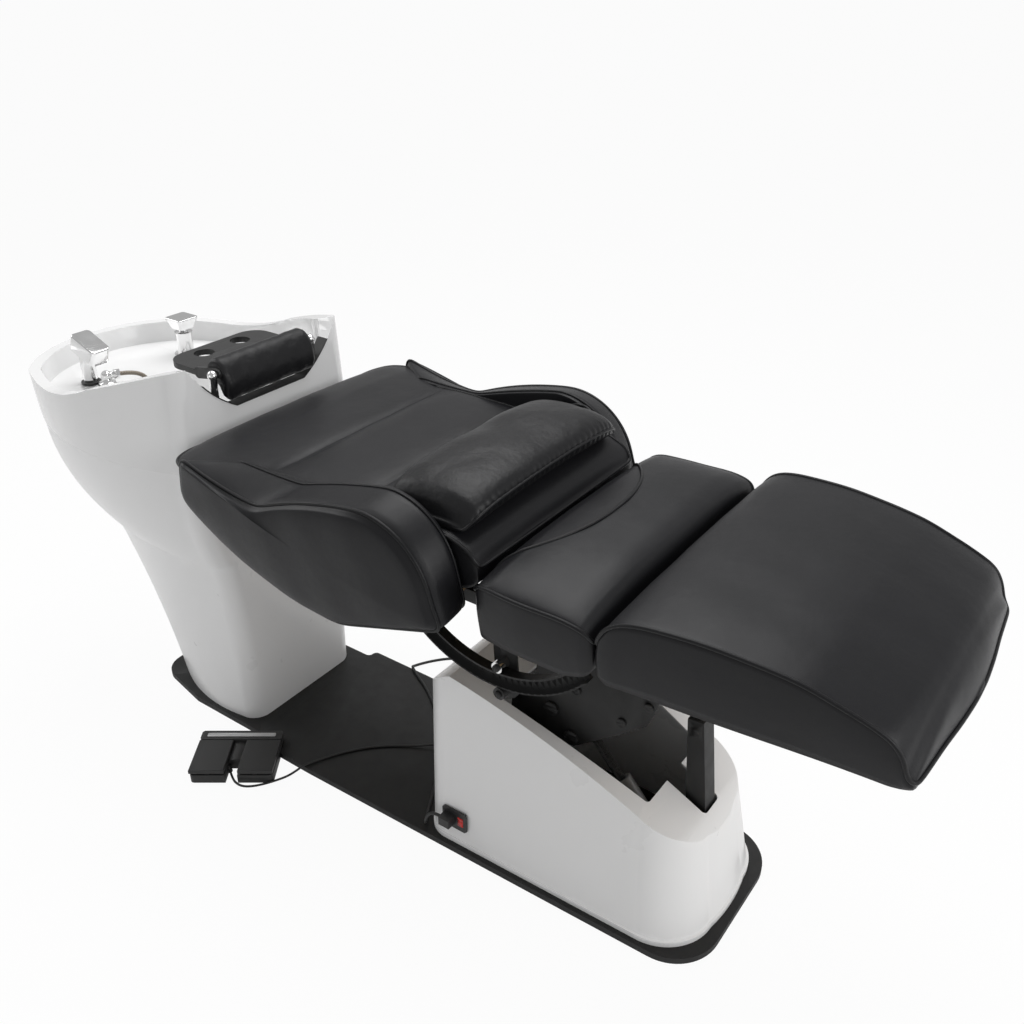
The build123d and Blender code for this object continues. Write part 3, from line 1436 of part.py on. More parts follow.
with BuildPart() as control_box:
    block(
        (control_box_x - control_box_length / 2, control_box_x + control_box_length / 2),
        (-control_box_width / 2, control_box_width / 2),
        (plate_thickness, plate_thickness + control_box_height), corner=control_box_corner,
    )
    fillet(control_box.faces().sort_by(Axis.Z)[-1].edges(), control_box_corner / 2)
finish(control_box, "control_box")

# Carriage plates, and the seat frame that stands on them
plate_x_span = (carriage_rear_x, carriage_front_x)
plate_z_span = (carriage_low_height, carriage_top_height)
carriage_outline = [
    (along(plate_x_span, part[0]), along(plate_z_span, part[1])) for part in carriage_outline_shares
]
carriage_spans = both(carriage_near_y, carriage_far_y)
carriage_bolt_places = [
    (along(plate_x_span, part[0]), along(plate_z_span, part[1])) for part in carriage_bolt_shares
]
seat_tube_top = carriage_top_height + seat_tube
with BuildPart() as seat_carriage:
    for y_span in carriage_spans:
        side_plate(carriage_outline, y_span)
    strip_rear, strip_top = carriage_outline[2], carriage_outline[1]
    strip_low = (
        along((strip_rear[0], strip_top[0]), carriage_strip_share),
        along((strip_rear[1], strip_top[1]), carriage_strip_share),
    )
    for y_span in both(carriage_far_y - arm_thickness - carriage_gap, carriage_far_y):
        side_plate(
            [strip_low, strip_top, (strip_top[0] - carriage_strip_thickness, strip_top[1]),
             (strip_low[0] - carriage_strip_thickness, strip_low[1])],
            y_span,
        )
    for y_span in both(carriage_near_y - seat_tube / 2, carriage_near_y + seat_tube / 2):
        block(
            (seat_tube_rear_x - seat_tube / 2, seat_tube_front_x + seat_tube / 2), y_span,
            (carriage_top_height, seat_tube_top),
        )
    guide_near_y = curve_near_y - guide_gap - guide_plate_thickness
    for y_span in both(seat_tube_opening, guide_near_y):
        block(
            (seat_tube_rear_x - seat_tube / 2, seat_tube_rear_x + seat_tube / 2), y_span,
            (carriage_top_height, seat_tube_top),
        )
    block(
        (seat_tube_front_x - seat_tube / 2, seat_tube_front_x + seat_tube / 2),
        (-seat_tube_front_half, seat_tube_front_half), (carriage_top_height, seat_tube_top),
    )
    for y_span in both(leg_hinge_ear_y, leg_hinge_ear_y + ear_thickness):
        link_bar(
            (seat_tube_front_x, seat_tube_top - leg_hinge_ear_radius), (leg_hinge_x, leg_hinge_height),
            2 * leg_hinge_ear_radius, y_span,
        )
        cross_rod((leg_hinge_x, leg_hinge_height), y_span, leg_pin_radius, Mode.SUBTRACT)
    for y_span in ear_spans:
        link_bar(
            (back_foot_x, seat_tube_top - seat_tube / 2), (back_foot_x, back_foot_height),
            2 * eye_radius, y_span,
        )
        cross_rod((back_foot_x, back_foot_height), y_span, pin_radius, Mode.SUBTRACT)
    for place in (upper_main, upper_second):
        bore(place, carriage_spans, pivot_radius)
finish(seat_carriage, "seat_carriage")

with BuildPart() as carriage_bolts:
    for place in (upper_main, upper_second):
        headed_pins(
            place, arm_near_y - running_gap, carriage_far_y, pivot_radius, pivot_head_radius,
            pivot_head_height,
        )
    for place in carriage_bolt_places:
        for y_span in both(carriage_far_y, carriage_far_y + pin_head_height):
            cross_rod(place, y_span, carriage_bolt_radius + pin_head_height)
finish(carriage_bolts, "carriage_bolts")

# Guide plates with two rollers each
upper_roller = (
    recline_x + turned(curve_inner_radius - upper_roller_radius - touch_gap, guide_angle)[0],
    recline_height + turned(curve_inner_radius - upper_roller_radius - touch_gap, guide_angle)[1],
)
lower_roller = (
    recline_x + turned(curve_outer_radius + lower_roller_radius + touch_gap, guide_angle)[0],
    recline_height + turned(curve_outer_radius + lower_roller_radius + touch_gap, guide_angle)[1],
)
guide_spans = both(guide_near_y, guide_near_y + guide_plate_thickness)
roller_near_y = curve_near_y - guide_gap / 2
roller_far_y = curve_near_y + curve_width + guide_gap / 2
with BuildPart() as guide_plates:
    for y_span in guide_spans:
        link_bar(
            (seat_tube_rear_x, seat_tube_top - guide_plate_half), lower_roller, 2 * guide_plate_half, y_span,
        )
    for y_span in both(guide_near_y + guide_plate_thickness, roller_far_y + running_gap):
        for place in (upper_roller, lower_roller):
            cross_rod(place, y_span, guide_pin_radius)
    for y_span in both(roller_far_y + running_gap, roller_far_y + pin_head_height):
        for place in (upper_roller, lower_roller):
            cross_rod(place, y_span, guide_pin_radius + pin_head_height / 2)
finish(guide_plates, "guide_plates")


def roller_pair(place, radius):
    for y_span in both(roller_near_y, roller_far_y):
        cross_rod(place, y_span, radius)
        cross_rod(place, y_span, guide_pin_radius + running_gap, Mode.SUBTRACT)


with BuildPart() as upper_rollers:
    roller_pair(upper_roller, upper_roller_radius)
finish(upper_rollers, "upper_rollers")
with BuildPart() as lower_rollers:
    roller_pair(lower_roller, lower_roller_radius)
finish(lower_rollers, "lower_rollers")

with BuildPart() as seat_board:
    block(
        (seat_rear_x + seat_board_inset, seat_tube_front_x - seat_tube / 2),
        (-seat_board_half, seat_board_half), (seat_tube_top, seat_tube_top + seat_board_thickness),
    )
finish(seat_board, "seat_board")


def cushion(rows, x_span, half, z_span):
    """An upholstered pad: a flat base, sides drawn in below the seam, a crown above it."""
    sections = []
    for place, base, seam, low, edge, crown in rows:
        base_y, seam_y = half * base, half * seam
        low_z, edge_z, crown_z = along(z_span, low), along(z_span, edge), along(z_span, crown)
        bend = ((base_y + seam_y) / 2 - drawn_in, (low_z + edge_z) / 2)
        with BuildSketch(Plane.YZ.offset(along(x_span, place))) as section:
            with BuildLine():
                Line((-base_y, low_z), (base_y, low_z))
                ThreePointArc((base_y, low_z), bend, (seam_y, edge_z))
                ThreePointArc((seam_y, edge_z), (0, crown_z), (-seam_y, edge_z))
                ThreePointArc((-seam_y, edge_z), mirrored(bend), (-base_y, low_z))
            make_face()
        sections.append(section.sketch)
    loft(sections, ruled=True)


with BuildPart() as seat_pad:
    cushion(seat_row_shares, (seat_rear_x, seat_front_x), seat_half, (seat_low_height, seat_high_height))
finish(seat_pad, "seat_pad")

with BuildPart() as leg_pad:
    cushion(leg_row_shares, (leg_rear_x, leg_front_x), leg_half, (leg_low_height, leg_high_height))
finish(leg_pad, "leg_pad")

with BuildPart() as back_pad:
    cushion(back_row_shares, (back_head_x, back_front_x), back_half, (back_low_height, back_high_height))
finish(back_pad, "back_pad")


def wing_section(side, place, blend, swell):
    """One upright outline of a side wing."""
    x_span = (back_head_x, back_front_x)
    z_span = (back_low_height, back_high_height)
    centre = (along(x_span, wing_centre_shares[0]), along(z_span, wing_centre_shares[1]))
    spots = []
    for inner, outer in zip(wing_inner_shares, wing_outer_shares):
        x = along(x_span, inner[0] + (outer[0] - inner[0]) * blend)
        z = along(z_span, inner[1] + (outer[1] - inner[1]) * blend)
        spots.append((x + (x - centre[0]) * swell, z + (z - centre[1]) * swell))
    y = side * along((wing_inner_y, wing_outer_y), place)
    with BuildSketch(Plane.XZ.offset(-y)) as section:
        with BuildLine():
            ThreePointArc(spots[0], spots[1], spots[2])
            ThreePointArc(spots[2], spots[3], spots[4])
            ThreePointArc(spots[4], spots[5], spots[6])
            Line(spots[6], spots[7])
            Line(spots[7], spots[8])
            ThreePointArc(spots[8], spots[9], spots[10])
            Line(spots[10], spots[0])
        make_face()
    return section.sketch


pad_head_side = [
    (along((back_head_x, back_front_x), row[0]), back_half * row[2] + side_gap)
    for row in back_row_shares[3:7]
]
for name, side in (("wing_near", -1), ("wing_far", 1)):
    with BuildPart() as wing:
        loft([wing_section(side, *row) for row in wing_row_shares], ruled=True)
        with BuildSketch(Plane.XY.offset(recline_height - recline_x)) as pad_room:
            with BuildLine():
                Polyline(
                    (back_head_x, 0), (back_head_x, side * pad_head_side[0][1]),
                    *[(x, side * y) for x, y in pad_head_side], (pad_head_side[-1][0], 0), close=True,
                )
            make_face()
        extrude(pad_room.sketch, amount=recline_height, mode=Mode.SUBTRACT)
    finish(wing, name)

# Loose pillow at the small of the back, its base bent over the pad's crown
with BuildPart() as lumbar_pillow:
    pillow_x = middle((pillow_rear_x, pillow_front_x))
    pillow_reach = extent((pillow_rear_x, pillow_front_x)) / 2
    pillow_thick = pillow_high_height - pillow_low_height
    pillow_sections = []
    for place, depth, thick in pillow_row_shares:
        reach = pillow_reach * depth
        low = pillow_low_height - pillow_sag * place * place
        half_rise = pillow_thick * thick / 2
        with BuildSketch(Plane.XZ.offset(-pillow_half * place)) as section:
            with BuildLine():
                rear, front = pillow_x - reach * depth, pillow_x + reach * depth
                rear_seam = (pillow_x - reach, low + half_rise)
                front_seam = (pillow_x + reach, low + half_rise)
                Line((rear, low), (front, low))
                ThreePointArc(
                    (front, low), (middle((front, front_seam[0])) + drawn_in, low + half_rise / 2),
                    front_seam,
                )
                ThreePointArc(front_seam, (pillow_x, low + 2 * half_rise), rear_seam)
                ThreePointArc(
                    rear_seam, (middle((rear, rear_seam[0])) - drawn_in, low + half_rise / 2),
                    (rear, low),
                )
            make_face()
        pillow_sections.append(section.sketch)
    loft(pillow_sections, ruled=True)
finish(lumbar_pillow, "lumbar_pillow")

# Leg rest board, its bracket and the telescopic strut
with BuildPart() as leg_board:
    block(
        (leg_board_rear_x, leg_board_front_x), (-leg_board_half, leg_board_half),
        (leg_low_height - leg_board_thickness, leg_low_height),
    )
finish(leg_board, "leg_board")

board_low = leg_low_height - leg_board_thickness
leg_hinge = (leg_hinge_x, leg_hinge_height)
leg_ear_spans = both(leg_hinge_ear_y - side_gap - ear_thickness, leg_hinge_ear_y - side_gap)
bracket_low = board_low - ear_thickness
with BuildPart() as leg_bracket:
    block(
        (leg_board_rear_x, leg_board_rear_x + 2 * seat_tube), (-leg_hinge_ear_y, leg_hinge_ear_y),
        (bracket_low, board_low),
    )
    for y_span in leg_ear_spans:
        link_bar(
            leg_hinge, (leg_board_rear_x + seat_tube, bracket_low - ear_thickness),
            2 * leg_hinge_ear_radius, y_span,
        )
        block(
            (leg_board_rear_x, leg_board_rear_x + 2 * seat_tube), y_span,
            (board_low, board_low + seat_tube), Mode.SUBTRACT,
        )
        cross_rod(leg_hinge, y_span, leg_pin_radius + running_gap, Mode.SUBTRACT)
    for y_span in ear_spans:
        link_bar(strut_top, (strut_top[0], bracket_low), 2 * eye_radius, y_span)
        block(
            (strut_top[0] - 2 * eye_radius, strut_top[0] + 2 * eye_radius), y_span,
            (board_low, board_low + seat_tube), Mode.SUBTRACT,
        )
    for y_span in both(ear_spans[1][1], ear_spans[1][1] + pin_head_height):
        cross_rod(strut_top, y_span, pin_head_radius)
finish(leg_bracket, "leg_bracket")

with BuildPart() as hinge_pins:
    for inner, outer in both(leg_hinge_ear_y - side_gap - ear_thickness, leg_hinge_ear_y + ear_thickness):
        cross_rod(leg_hinge, (inner, outer), leg_pin_radius)
    for y_span in both(leg_hinge_ear_y + ear_thickness, leg_hinge_ear_y + ear_thickness + pin_head_height):
        cross_rod(leg_hinge, y_span, leg_hinge_ear_radius)
    through_pin((back_foot_x, back_foot_height), pin_half, pin_radius, pin_head_radius, pin_head_height)
finish(hinge_pins, "hinge_pins")

strut_way = direction(strut_foot, strut_top)


def strut_box(low, high, shrink, mode=Mode.ADD):
    """A stretch of the tapered channel, narrowed on every side by the shrink."""
    sections = []
    for distance in (low, high):
        spot = step_along(strut_foot, strut_top, distance)
        depth = along((strut_low_depth, strut_top_depth), distance / strut_length)
        place = Plane(origin=(spot[0], 0, spot[1]), x_dir=(0, 1, 0), z_dir=strut_way)
        with BuildSketch(place) as section:
            Rectangle(strut_width - 2 * shrink, depth - 2 * shrink)
        sections.append(section.sketch)
    loft(sections, ruled=True, mode=mode)


strut_bolt = step_along(strut_foot, strut_top, strut_length * strut_bolt_share)
with BuildPart() as leg_channel:
    strut_box(-strut_below, strut_length, 0)
    strut_box(-strut_below, strut_length - strut_bush_length, strut_wall, Mode.SUBTRACT)
    strut_base = step_along(strut_foot, strut_top, strut_length - strut_bush_length)
    strut_end = step_along(strut_foot, strut_top, strut_length)
    rod(
        (strut_base[0], 0, strut_base[1]), (strut_end[0], 0, strut_end[1]),
        strut_rod_radius + running_gap, Mode.SUBTRACT,
    )
    cross_rod(strut_foot, (-strut_side, strut_side), pin_radius + running_gap, Mode.SUBTRACT)
    for y_span in both(strut_side, strut_side + pin_head_height / 2):
        cross_rod(strut_bolt, y_span, strut_bolt_radius)
finish(leg_channel, "leg_channel")

with BuildPart() as leg_rod:
    drive_rod(step_along(strut_top, strut_foot, strut_rod_length), strut_top, strut_rod_radius)
finish(leg_rod, "leg_rod")

# Back frame: tubes under the board, curved rails down to the rollers, a lever for its drive
back_tube_low = back_low_height - back_board_thickness - back_tube
back_tube_high = back_low_height - back_board_thickness
with BuildPart() as back_board:
    block(
        (back_tube_rear_x - back_tube, back_tube_front_x - back_tube), (-back_board_half, back_board_half),
        (back_tube_high, back_low_height),
    )
finish(back_board, "back_board")


def curve_ring(inner, outer, y_span, mode=Mode.ADD):
    """A part of a ring about the recline centre, between the rail's two end angles."""
    spots = [turned(radius, angle) for radius in (inner, outer)
             for angle in (curve_rear_angle, (curve_rear_angle + curve_front_angle) / 2, curve_front_angle)]
    spots = [(recline_x + spot[0], recline_height + spot[1]) for spot in spots]
    with BuildSketch(Plane.XZ.offset(-y_span[1])) as ring:
        with BuildLine():
            ThreePointArc(spots[0], spots[1], spots[2])
            Line(spots[2], spots[5])
            ThreePointArc(spots[5], spots[4], spots[3])
            Line(spots[3], spots[0])
        make_face()
    extrude(ring.sketch, amount=extent(y_span), mode=mode)


back_link = (back_link_x, back_link_height)
back_tube_inner = back_tube_middle_y - back_tube / 2
with BuildPart() as back_frame:
    for y_span in both(curve_near_y, curve_near_y + curve_width):
        curve_ring(curve_inner_radius, curve_outer_radius, y_span)
    for y_span in both(curve_near_y + curve_web, curve_near_y + curve_width):
        curve_ring(curve_inner_radius + curve_flange, curve_outer_radius - curve_flange, y_span, Mode.SUBTRACT)
    block(
        (back_head_x, back_front_x), (-back_half, back_half),
        (back_tube_high - back_tube / 2, back_high_height), Mode.SUBTRACT,
    )
    for y_span in both(back_tube_inner, back_tube_inner + back_tube):
        block((back_tube_rear_x, back_tube_front_x), y_span, (back_tube_low, back_tube_high))
    for tube_x, half in (
        (back_tube_rear_x, back_tube_inner), (back_cross_middle_x, wing_inner_y), (back_cross_x, wing_inner_y),
    ):
        block((tube_x, tube_x + back_tube), (-half, half), (back_tube_low, back_tube_high))
    for y_span in ear_spans:
        link_bar(
            (back_cross_x + back_tube / 2, back_tube_low + back_tube / 2), back_link,
            2 * eye_radius, y_span,
        )
        block(
            (back_cross_x - back_tube, back_cross_x + 2 * back_tube), y_span,
            (back_tube_high, back_high_height), Mode.SUBTRACT,
        )
    for y_span in both(ear_spans[1][1], ear_spans[1][1] + pin_head_height):
        cross_rod(back_link, y_span, pin_head_radius)
finish(back_frame, "back_frame")

back_foot = (back_foot_x, back_foot_height)
with BuildPart() as back_motor:
    neck, top = drive_tube(back_foot, back_link, back_drive_length, back_drive_radius)
    drive_motor(neck, top, back_drive_radius, 1)
    rod((neck[0], 0, neck[1]), (top[0], 0, top[1]), back_rod_radius + running_gap, Mode.SUBTRACT)
finish(back_motor, "back_motor")

with BuildPart() as back_rod:
    back_rod_start = step_along(back_foot, back_link, eye_radius + eye_radius)
    drive_rod(back_rod_start, back_link, back_rod_radius)
finish(back_rod, "back_rod")

# Foot control: a housing with a notched front, and two treads that each rock left and right
pedal_plane = Plane(origin=(pedal_x, pedal_y, 0), z_dir=(0, 0, 1)).rotated((0, 0, pedal_turn_angle))
pedal_half = pedal_width / 2
pedal_front = -pedal_depth / 2
pedal_rear = pedal_depth / 2
notch_half = pedal_notch_width / 2
ridge_y = pedal_rear - pedal_ridge_depth


def pedal_block(x_span, y_span, z_span, mode=Mode.ADD, corner=0):
    """A block in the foot control's own directions."""
    with BuildSketch(pedal_plane.offset(z_span[0])) as outline:
        with Locations((middle(x_span), middle(y_span))):
            if corner:
                RectangleRounded(extent(x_span), extent(y_span), corner)
            else:
                Rectangle(extent(x_span), extent(y_span))
    extrude(outline.sketch, amount=extent(z_span), mode=mode)


def pedal_rod(x, y_span, height, radius, mode=Mode.ADD):
    ends = [pedal_plane.from_local_coords(Vector(x, y, height)) for y in y_span]
    rod(tuple(ends[0]), tuple(ends[1]), radius, mode)


tread_middle = (pedal_half + notch_half) / 2
axle_height = pedal_base_height + touch_gap + tread_axle_radius
with BuildPart() as pedal_housing:
    pedal_block(
        (-pedal_half, pedal_half), (pedal_front, pedal_rear), (0, pedal_base_height),
        corner=pedal_chamfer / 2,
    )
    pedal_block((-pedal_half, pedal_half), (ridge_y, pedal_rear), (0, pedal_height), corner=pedal_chamfer / 3)
    pedal_block(
        (-notch_half, notch_half), (pedal_front, pedal_front + pedal_notch_depth),
        (0, pedal_height), Mode.SUBTRACT,
    )
    pedal_block(
        (-notch_half, notch_half), (pedal_front + pedal_notch_depth, ridge_y + side_gap),
        (0, pedal_ledge_height),
    )
    for side in (-1, 1):
        pedal_rod(
            side * tread_middle, (ridge_y, ridge_y + tread_axle_length), axle_height,
            tread_axle_radius + running_gap, Mode.SUBTRACT,
        )
    for rebate_x, rebate_half in ((plate_rear_x, plate_lobe_half), (plate_step_x, plate_wide_half)):
        block(
            (rebate_x - touch_gap, plate_front_x), (-rebate_half - touch_gap, 0),
            (0, plate_thickness + touch_gap), Mode.SUBTRACT,
        )
    cable_start = Vector(*pedal_cable_points[0])
    cable_way = (Vector(*pedal_cable_points[1]) - cable_start).normalized()
    rod(
        tuple(cable_start - cable_way * pedal_gland_length), tuple(cable_start),
        pedal_gland_radius,
    )
finish(pedal_housing, "pedal_housing")

for name, side in (("tread_left", -1), ("tread_right", 1)):
    with BuildPart() as tread:
        x_low = notch_half + tread_gap if side > 0 else -pedal_half
        x_high = pedal_half if side > 0 else -notch_half - tread_gap
        tread_low = pedal_base_height + tread_fall
        pedal_block((x_low, x_high), (pedal_front, ridge_y - tread_gap), (tread_low, pedal_height))
        fillet(tread.faces().sort_by(Axis.Z)[-1].edges(), tread_gap)
        tread_x = side * tread_middle
        rib_half = tread_rib_width / 2
        pedal_block(
            (tread_x - rib_half, tread_x + rib_half), (pedal_front + tread_gap, ridge_y - tread_gap),
            (pedal_base_height + touch_gap, tread_low),
        )
        pedal_rod(
            tread_x, (ridge_y - 2 * tread_gap, ridge_y + tread_axle_length - running_gap), axle_height,
            tread_axle_radius,
        )
    finish(tread, name)

with BuildPart() as pedal_strip:
    strip_rear = pedal_rear - (pedal_ridge_depth - strip_depth) / 2
    pedal_block(
        (-strip_width / 2, strip_width / 2), (strip_rear - strip_depth, strip_rear),
        (pedal_height, pedal_height + strip_thickness), corner=strip_depth / 4,
    )
finish(pedal_strip, "pedal_strip")

with BuildPart() as pedal_cable:
    tube(pedal_cable_points, pedal_cable_radius)
finish(pedal_cable, "pedal_cable")

# Mains cord: over the plate and off its far edge, then a coil behind the bed and its plug
with BuildPart() as mains_cord:
    tube(mains_points, mains_radius)
finish(mains_cord, "mains_cord")


coil_end = Vector(*mains_points[-1])
coil_way = (coil_end - Vector(*mains_points[-2])).normalized()
coil_plane = Plane(origin=coil_end, x_dir=coil_way, z_dir=(0, 0, 1))


def coil_spot(across, out, turn):
    """A place on the winding: across and outwards in coil radii, and raised by its turns."""
    return coil_plane.from_local_coords(
        Vector(coil_radius * across, coil_radius * out, coil_pitch * turn)
    )


def least_gap(edges, radius):
    """The least clear distance between parts of a winding that lie over each other."""
    spots = []
    for edge in edges:
        count = ceil(edge.length / radius)
        spots += [edge.position_at(step / count) for step in range(count)]
    apart = ceil(coil_radius * pi / 2 / radius)
    pairs = ((a, b) for k, a in enumerate(spots) for b in spots[k + apart:])
    return min((a - b).length for a, b in pairs) - 2 * radius


tail_run = [
    coil_plane.from_local_coords(Vector(*point) + Vector(0, 0, coil_pitch * coil_loops))
    for point in tail_points
]
with BuildPart() as mains_coil:
    with BuildLine() as winding:
        for loop in range(coil_loops):
            half = loop + 1 / 2
            ThreePointArc(coil_spot(0, 0, loop), coil_spot(1, 1, loop + 1 / 4), coil_spot(0, 2, half))
            ThreePointArc(coil_spot(0, 2, half), coil_spot(-1, 1, half + 1 / 4), coil_spot(0, 0, loop + 1))
        FilletPolyline(*tail_run, radius=cord_radii([tuple(point) for point in tail_run]))
    with BuildSketch(Plane(origin=coil_end, z_dir=coil_way)) as disc:
        Circle(mains_radius)
    coil_solid = sweep(disc.sketch, path=winding.line)
    coil_length = sum(edge.length for edge in winding.edges())
    print(
        "coil and tail", round(coil_length), "mm, volume ratio",
        round(coil_solid.volume / (pi * mains_radius * mains_radius * coil_length), 4),
        "least gap", round(least_gap(winding.edges(), mains_radius), 2), "mm",
    )
finish(mains_coil, "mains_coil")

# Plug on the cord's end: a tapered relief, a rounded body and two pins
plug_way = (tail_run[-1] - tail_run[-2]).normalized()
plug_plane = Plane(origin=tail_run[-1], x_dir=(-plug_way.Y, plug_way.X, 0), z_dir=plug_way)
with BuildPart() as mains_plug:
    rings = []
    for place, radius in ((touch_gap, mains_radius + side_gap / 2), (plug_relief_length, 2 * mains_radius)):
        with BuildSketch(plug_plane.offset(place)) as ring:
            Circle(radius)
        rings.append(ring.sketch)
    loft(rings)
    with BuildSketch(plug_plane.offset(plug_relief_length)) as body:
        RectangleRounded(plug_body_width, plug_body_tall, plug_body_tall / 3)
    extrude(body.sketch, amount=plug_body_length)
    with BuildSketch(plug_plane.offset(plug_relief_length + plug_body_length)) as pins:
        with Locations((-plug_pin_half, 0), (plug_pin_half, 0)):
            Circle(plug_pin_radius)
    extrude(pins.sketch, amount=plug_pin_length)
finish(mains_plug, "mains_plug")
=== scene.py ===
import bpy
import bmesh
import json
import math
import numpy as np
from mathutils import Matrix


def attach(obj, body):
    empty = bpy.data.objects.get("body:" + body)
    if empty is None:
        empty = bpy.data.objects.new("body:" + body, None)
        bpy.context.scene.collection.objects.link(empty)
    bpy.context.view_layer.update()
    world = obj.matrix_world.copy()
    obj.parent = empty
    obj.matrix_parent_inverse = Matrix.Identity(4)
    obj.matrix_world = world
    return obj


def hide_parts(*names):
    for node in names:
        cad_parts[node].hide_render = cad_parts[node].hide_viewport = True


# Hair washing bed. Metres: X runs from the head to the feet, Y across the bed, Z up.
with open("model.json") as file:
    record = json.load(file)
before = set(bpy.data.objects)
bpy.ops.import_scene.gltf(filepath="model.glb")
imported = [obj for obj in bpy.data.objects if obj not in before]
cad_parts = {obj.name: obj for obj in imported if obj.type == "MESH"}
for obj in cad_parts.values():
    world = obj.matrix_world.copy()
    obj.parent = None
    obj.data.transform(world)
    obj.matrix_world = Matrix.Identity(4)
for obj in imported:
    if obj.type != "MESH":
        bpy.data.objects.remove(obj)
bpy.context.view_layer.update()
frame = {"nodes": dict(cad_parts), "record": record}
record = frame["record"]
nodes = frame["nodes"]
bodyOf = {name: body for body, names in record["behaviour"]["bodies"].items() for name in names}
print("stage: frame loaded,", len(nodes), "nodes")


def placed(name, data):
    # a new object in the scene
    item = bpy.data.objects.new(name, data)
    bpy.context.scene.collection.objects.link(item)
    return item


# Camera, where the photograph was taken from
cameraSpec = {
    "place": (1.215, -1.387, 1.656), "tilt": 61.16, "turn": 35.45, "lens": 36.36, "sensor": 36, "sight": 200,
}
camera = placed("camera", bpy.data.cameras.new("camera"))
camera.location = cameraSpec["place"]
camera.rotation_euler = (math.radians(cameraSpec["tilt"]), 0, math.radians(cameraSpec["turn"]))
camera.data.lens = cameraSpec["lens"]
camera.data.sensor_width = cameraSpec["sensor"]
camera.data.clip_end = cameraSpec["sight"]
bpy.context.scene.camera = camera


# Shader maths
class Socket:
    # one output of a shader node; Python operators add Math nodes
    def __init__(self, nodeTree, link):
        self.nodeTree, self.link = nodeTree, link

    def maths(self, operation, first, second):
        return self.nodeTree.add("ShaderNodeMath", {"operation": operation}, {0: first, 1: second})

    def __add__(self, other): return self.maths("ADD", self, other)
    def __radd__(self, other): return self.maths("ADD", other, self)
    def __sub__(self, other): return self.maths("SUBTRACT", self, other)
    def __rsub__(self, other): return self.maths("SUBTRACT", other, self)
    def __mul__(self, other): return self.maths("MULTIPLY", self, other)
    def __rmul__(self, other): return self.maths("MULTIPLY", other, self)


class NodeTree:
    # nodes of a material or the world; add() makes any node from its type, settings and inputs
    def __init__(self, owner):
        owner.use_nodes = True
        self.tree = owner.node_tree
        self.tree.nodes.clear()

    def put(self, node, name, value):
        if isinstance(value, Socket):
            self.tree.links.new(value.link, node.inputs[name])
        else:
            node.inputs[name].default_value = value

    def add(self, kind, settings, inputs, output=0):
        node = self.tree.nodes.new(kind)
        for name, value in settings.items():
            setattr(node, name, value)
        for name, value in inputs.items():
            self.put(node, name, value)
        return Socket(self, node.outputs[output])


class Shader(NodeTree):
    # a material built round one Principled shader
    def __init__(self, name):
        self.material = bpy.data.materials.new(name)
        super().__init__(self.material)
        self.output = self.tree.nodes.new("ShaderNodeOutputMaterial")
        self.surface = self.tree.nodes.new("ShaderNodeBsdfPrincipled")
        self.tree.links.new(self.surface.outputs[0], self.output.inputs["Surface"])
        self.place = self.add("ShaderNodeTexCoord", {}, {}, "Object")

    def noise(self, scale, detail, roughness=0.5, place=None):
        return self.add("ShaderNodeTexNoise", {}, {
            "Vector": place or self.place, "Scale": scale, "Detail": detail, "Roughness": roughness}, "Fac")

    def cells(self, scale):
        return self.add("ShaderNodeTexVoronoi", {"feature": "DISTANCE_TO_EDGE"}, {
            "Vector": self.place, "Scale": scale}, "Distance")

    def stretch(self, sizes):
        return self.add("ShaderNodeMapping", {}, {"Vector": self.place, "Scale": sizes})

    def span(self, value, low, high, outLow, outHigh):
        return self.add("ShaderNodeMapRange", {}, {
            "Value": value, "From Min": low, "From Max": high, "To Min": outLow, "To Max": outHigh})

    def mix(self, share, first, second):
        return self.add("ShaderNodeMix", {"data_type": "RGBA"}, {0: share, 6: first, 7: second}, 2)

    def bump(self, height, strength, distance, under=None):
        inputs = {"Height": height, "Strength": strength, "Distance": distance}
        if under is not None:
            inputs["Normal"] = under
        return self.add("ShaderNodeBump", {}, inputs)

    def set(self, **values):
        for name, value in values.items():
            self.put(self.surface, name.replace("_", " "), value)


def shade(value):
    # a grey or a colour as four numbers
    return (value, value, value, 1.0) if isinstance(value, float) else (*value, 1.0)


materials = {}

leatherWork = {
    "wear": 5.0, "wearShade": 0.7, "pebbleShade": 0.3, "wearRough": 0.16, "pebbleRough": 0.05,
    "pebbleDepth": 0.00018, "gloss": 0.26,
}
leatherFinishes = {
    "black_leather": {
        "low": (0.007, 0.007, 0.008), "high": (0.014, 0.014, 0.016), "rough": 0.38,
        "grain": 620.0, "creases": 9.0, "creaseDepth": 0.004,
    },
    "pillow_leather": {
        "low": (0.007, 0.007, 0.008), "high": (0.014, 0.014, 0.015), "rough": 0.36,
        "grain": 760.0, "creases": 22.0, "creaseDepth": 0.006,
    },
    "piping_leather": {
        "low": (0.005, 0.005, 0.006), "high": (0.011, 0.011, 0.012), "rough": 0.34,
        "grain": 900.0, "creases": 40.0, "creaseDepth": 0.001,
    },
}


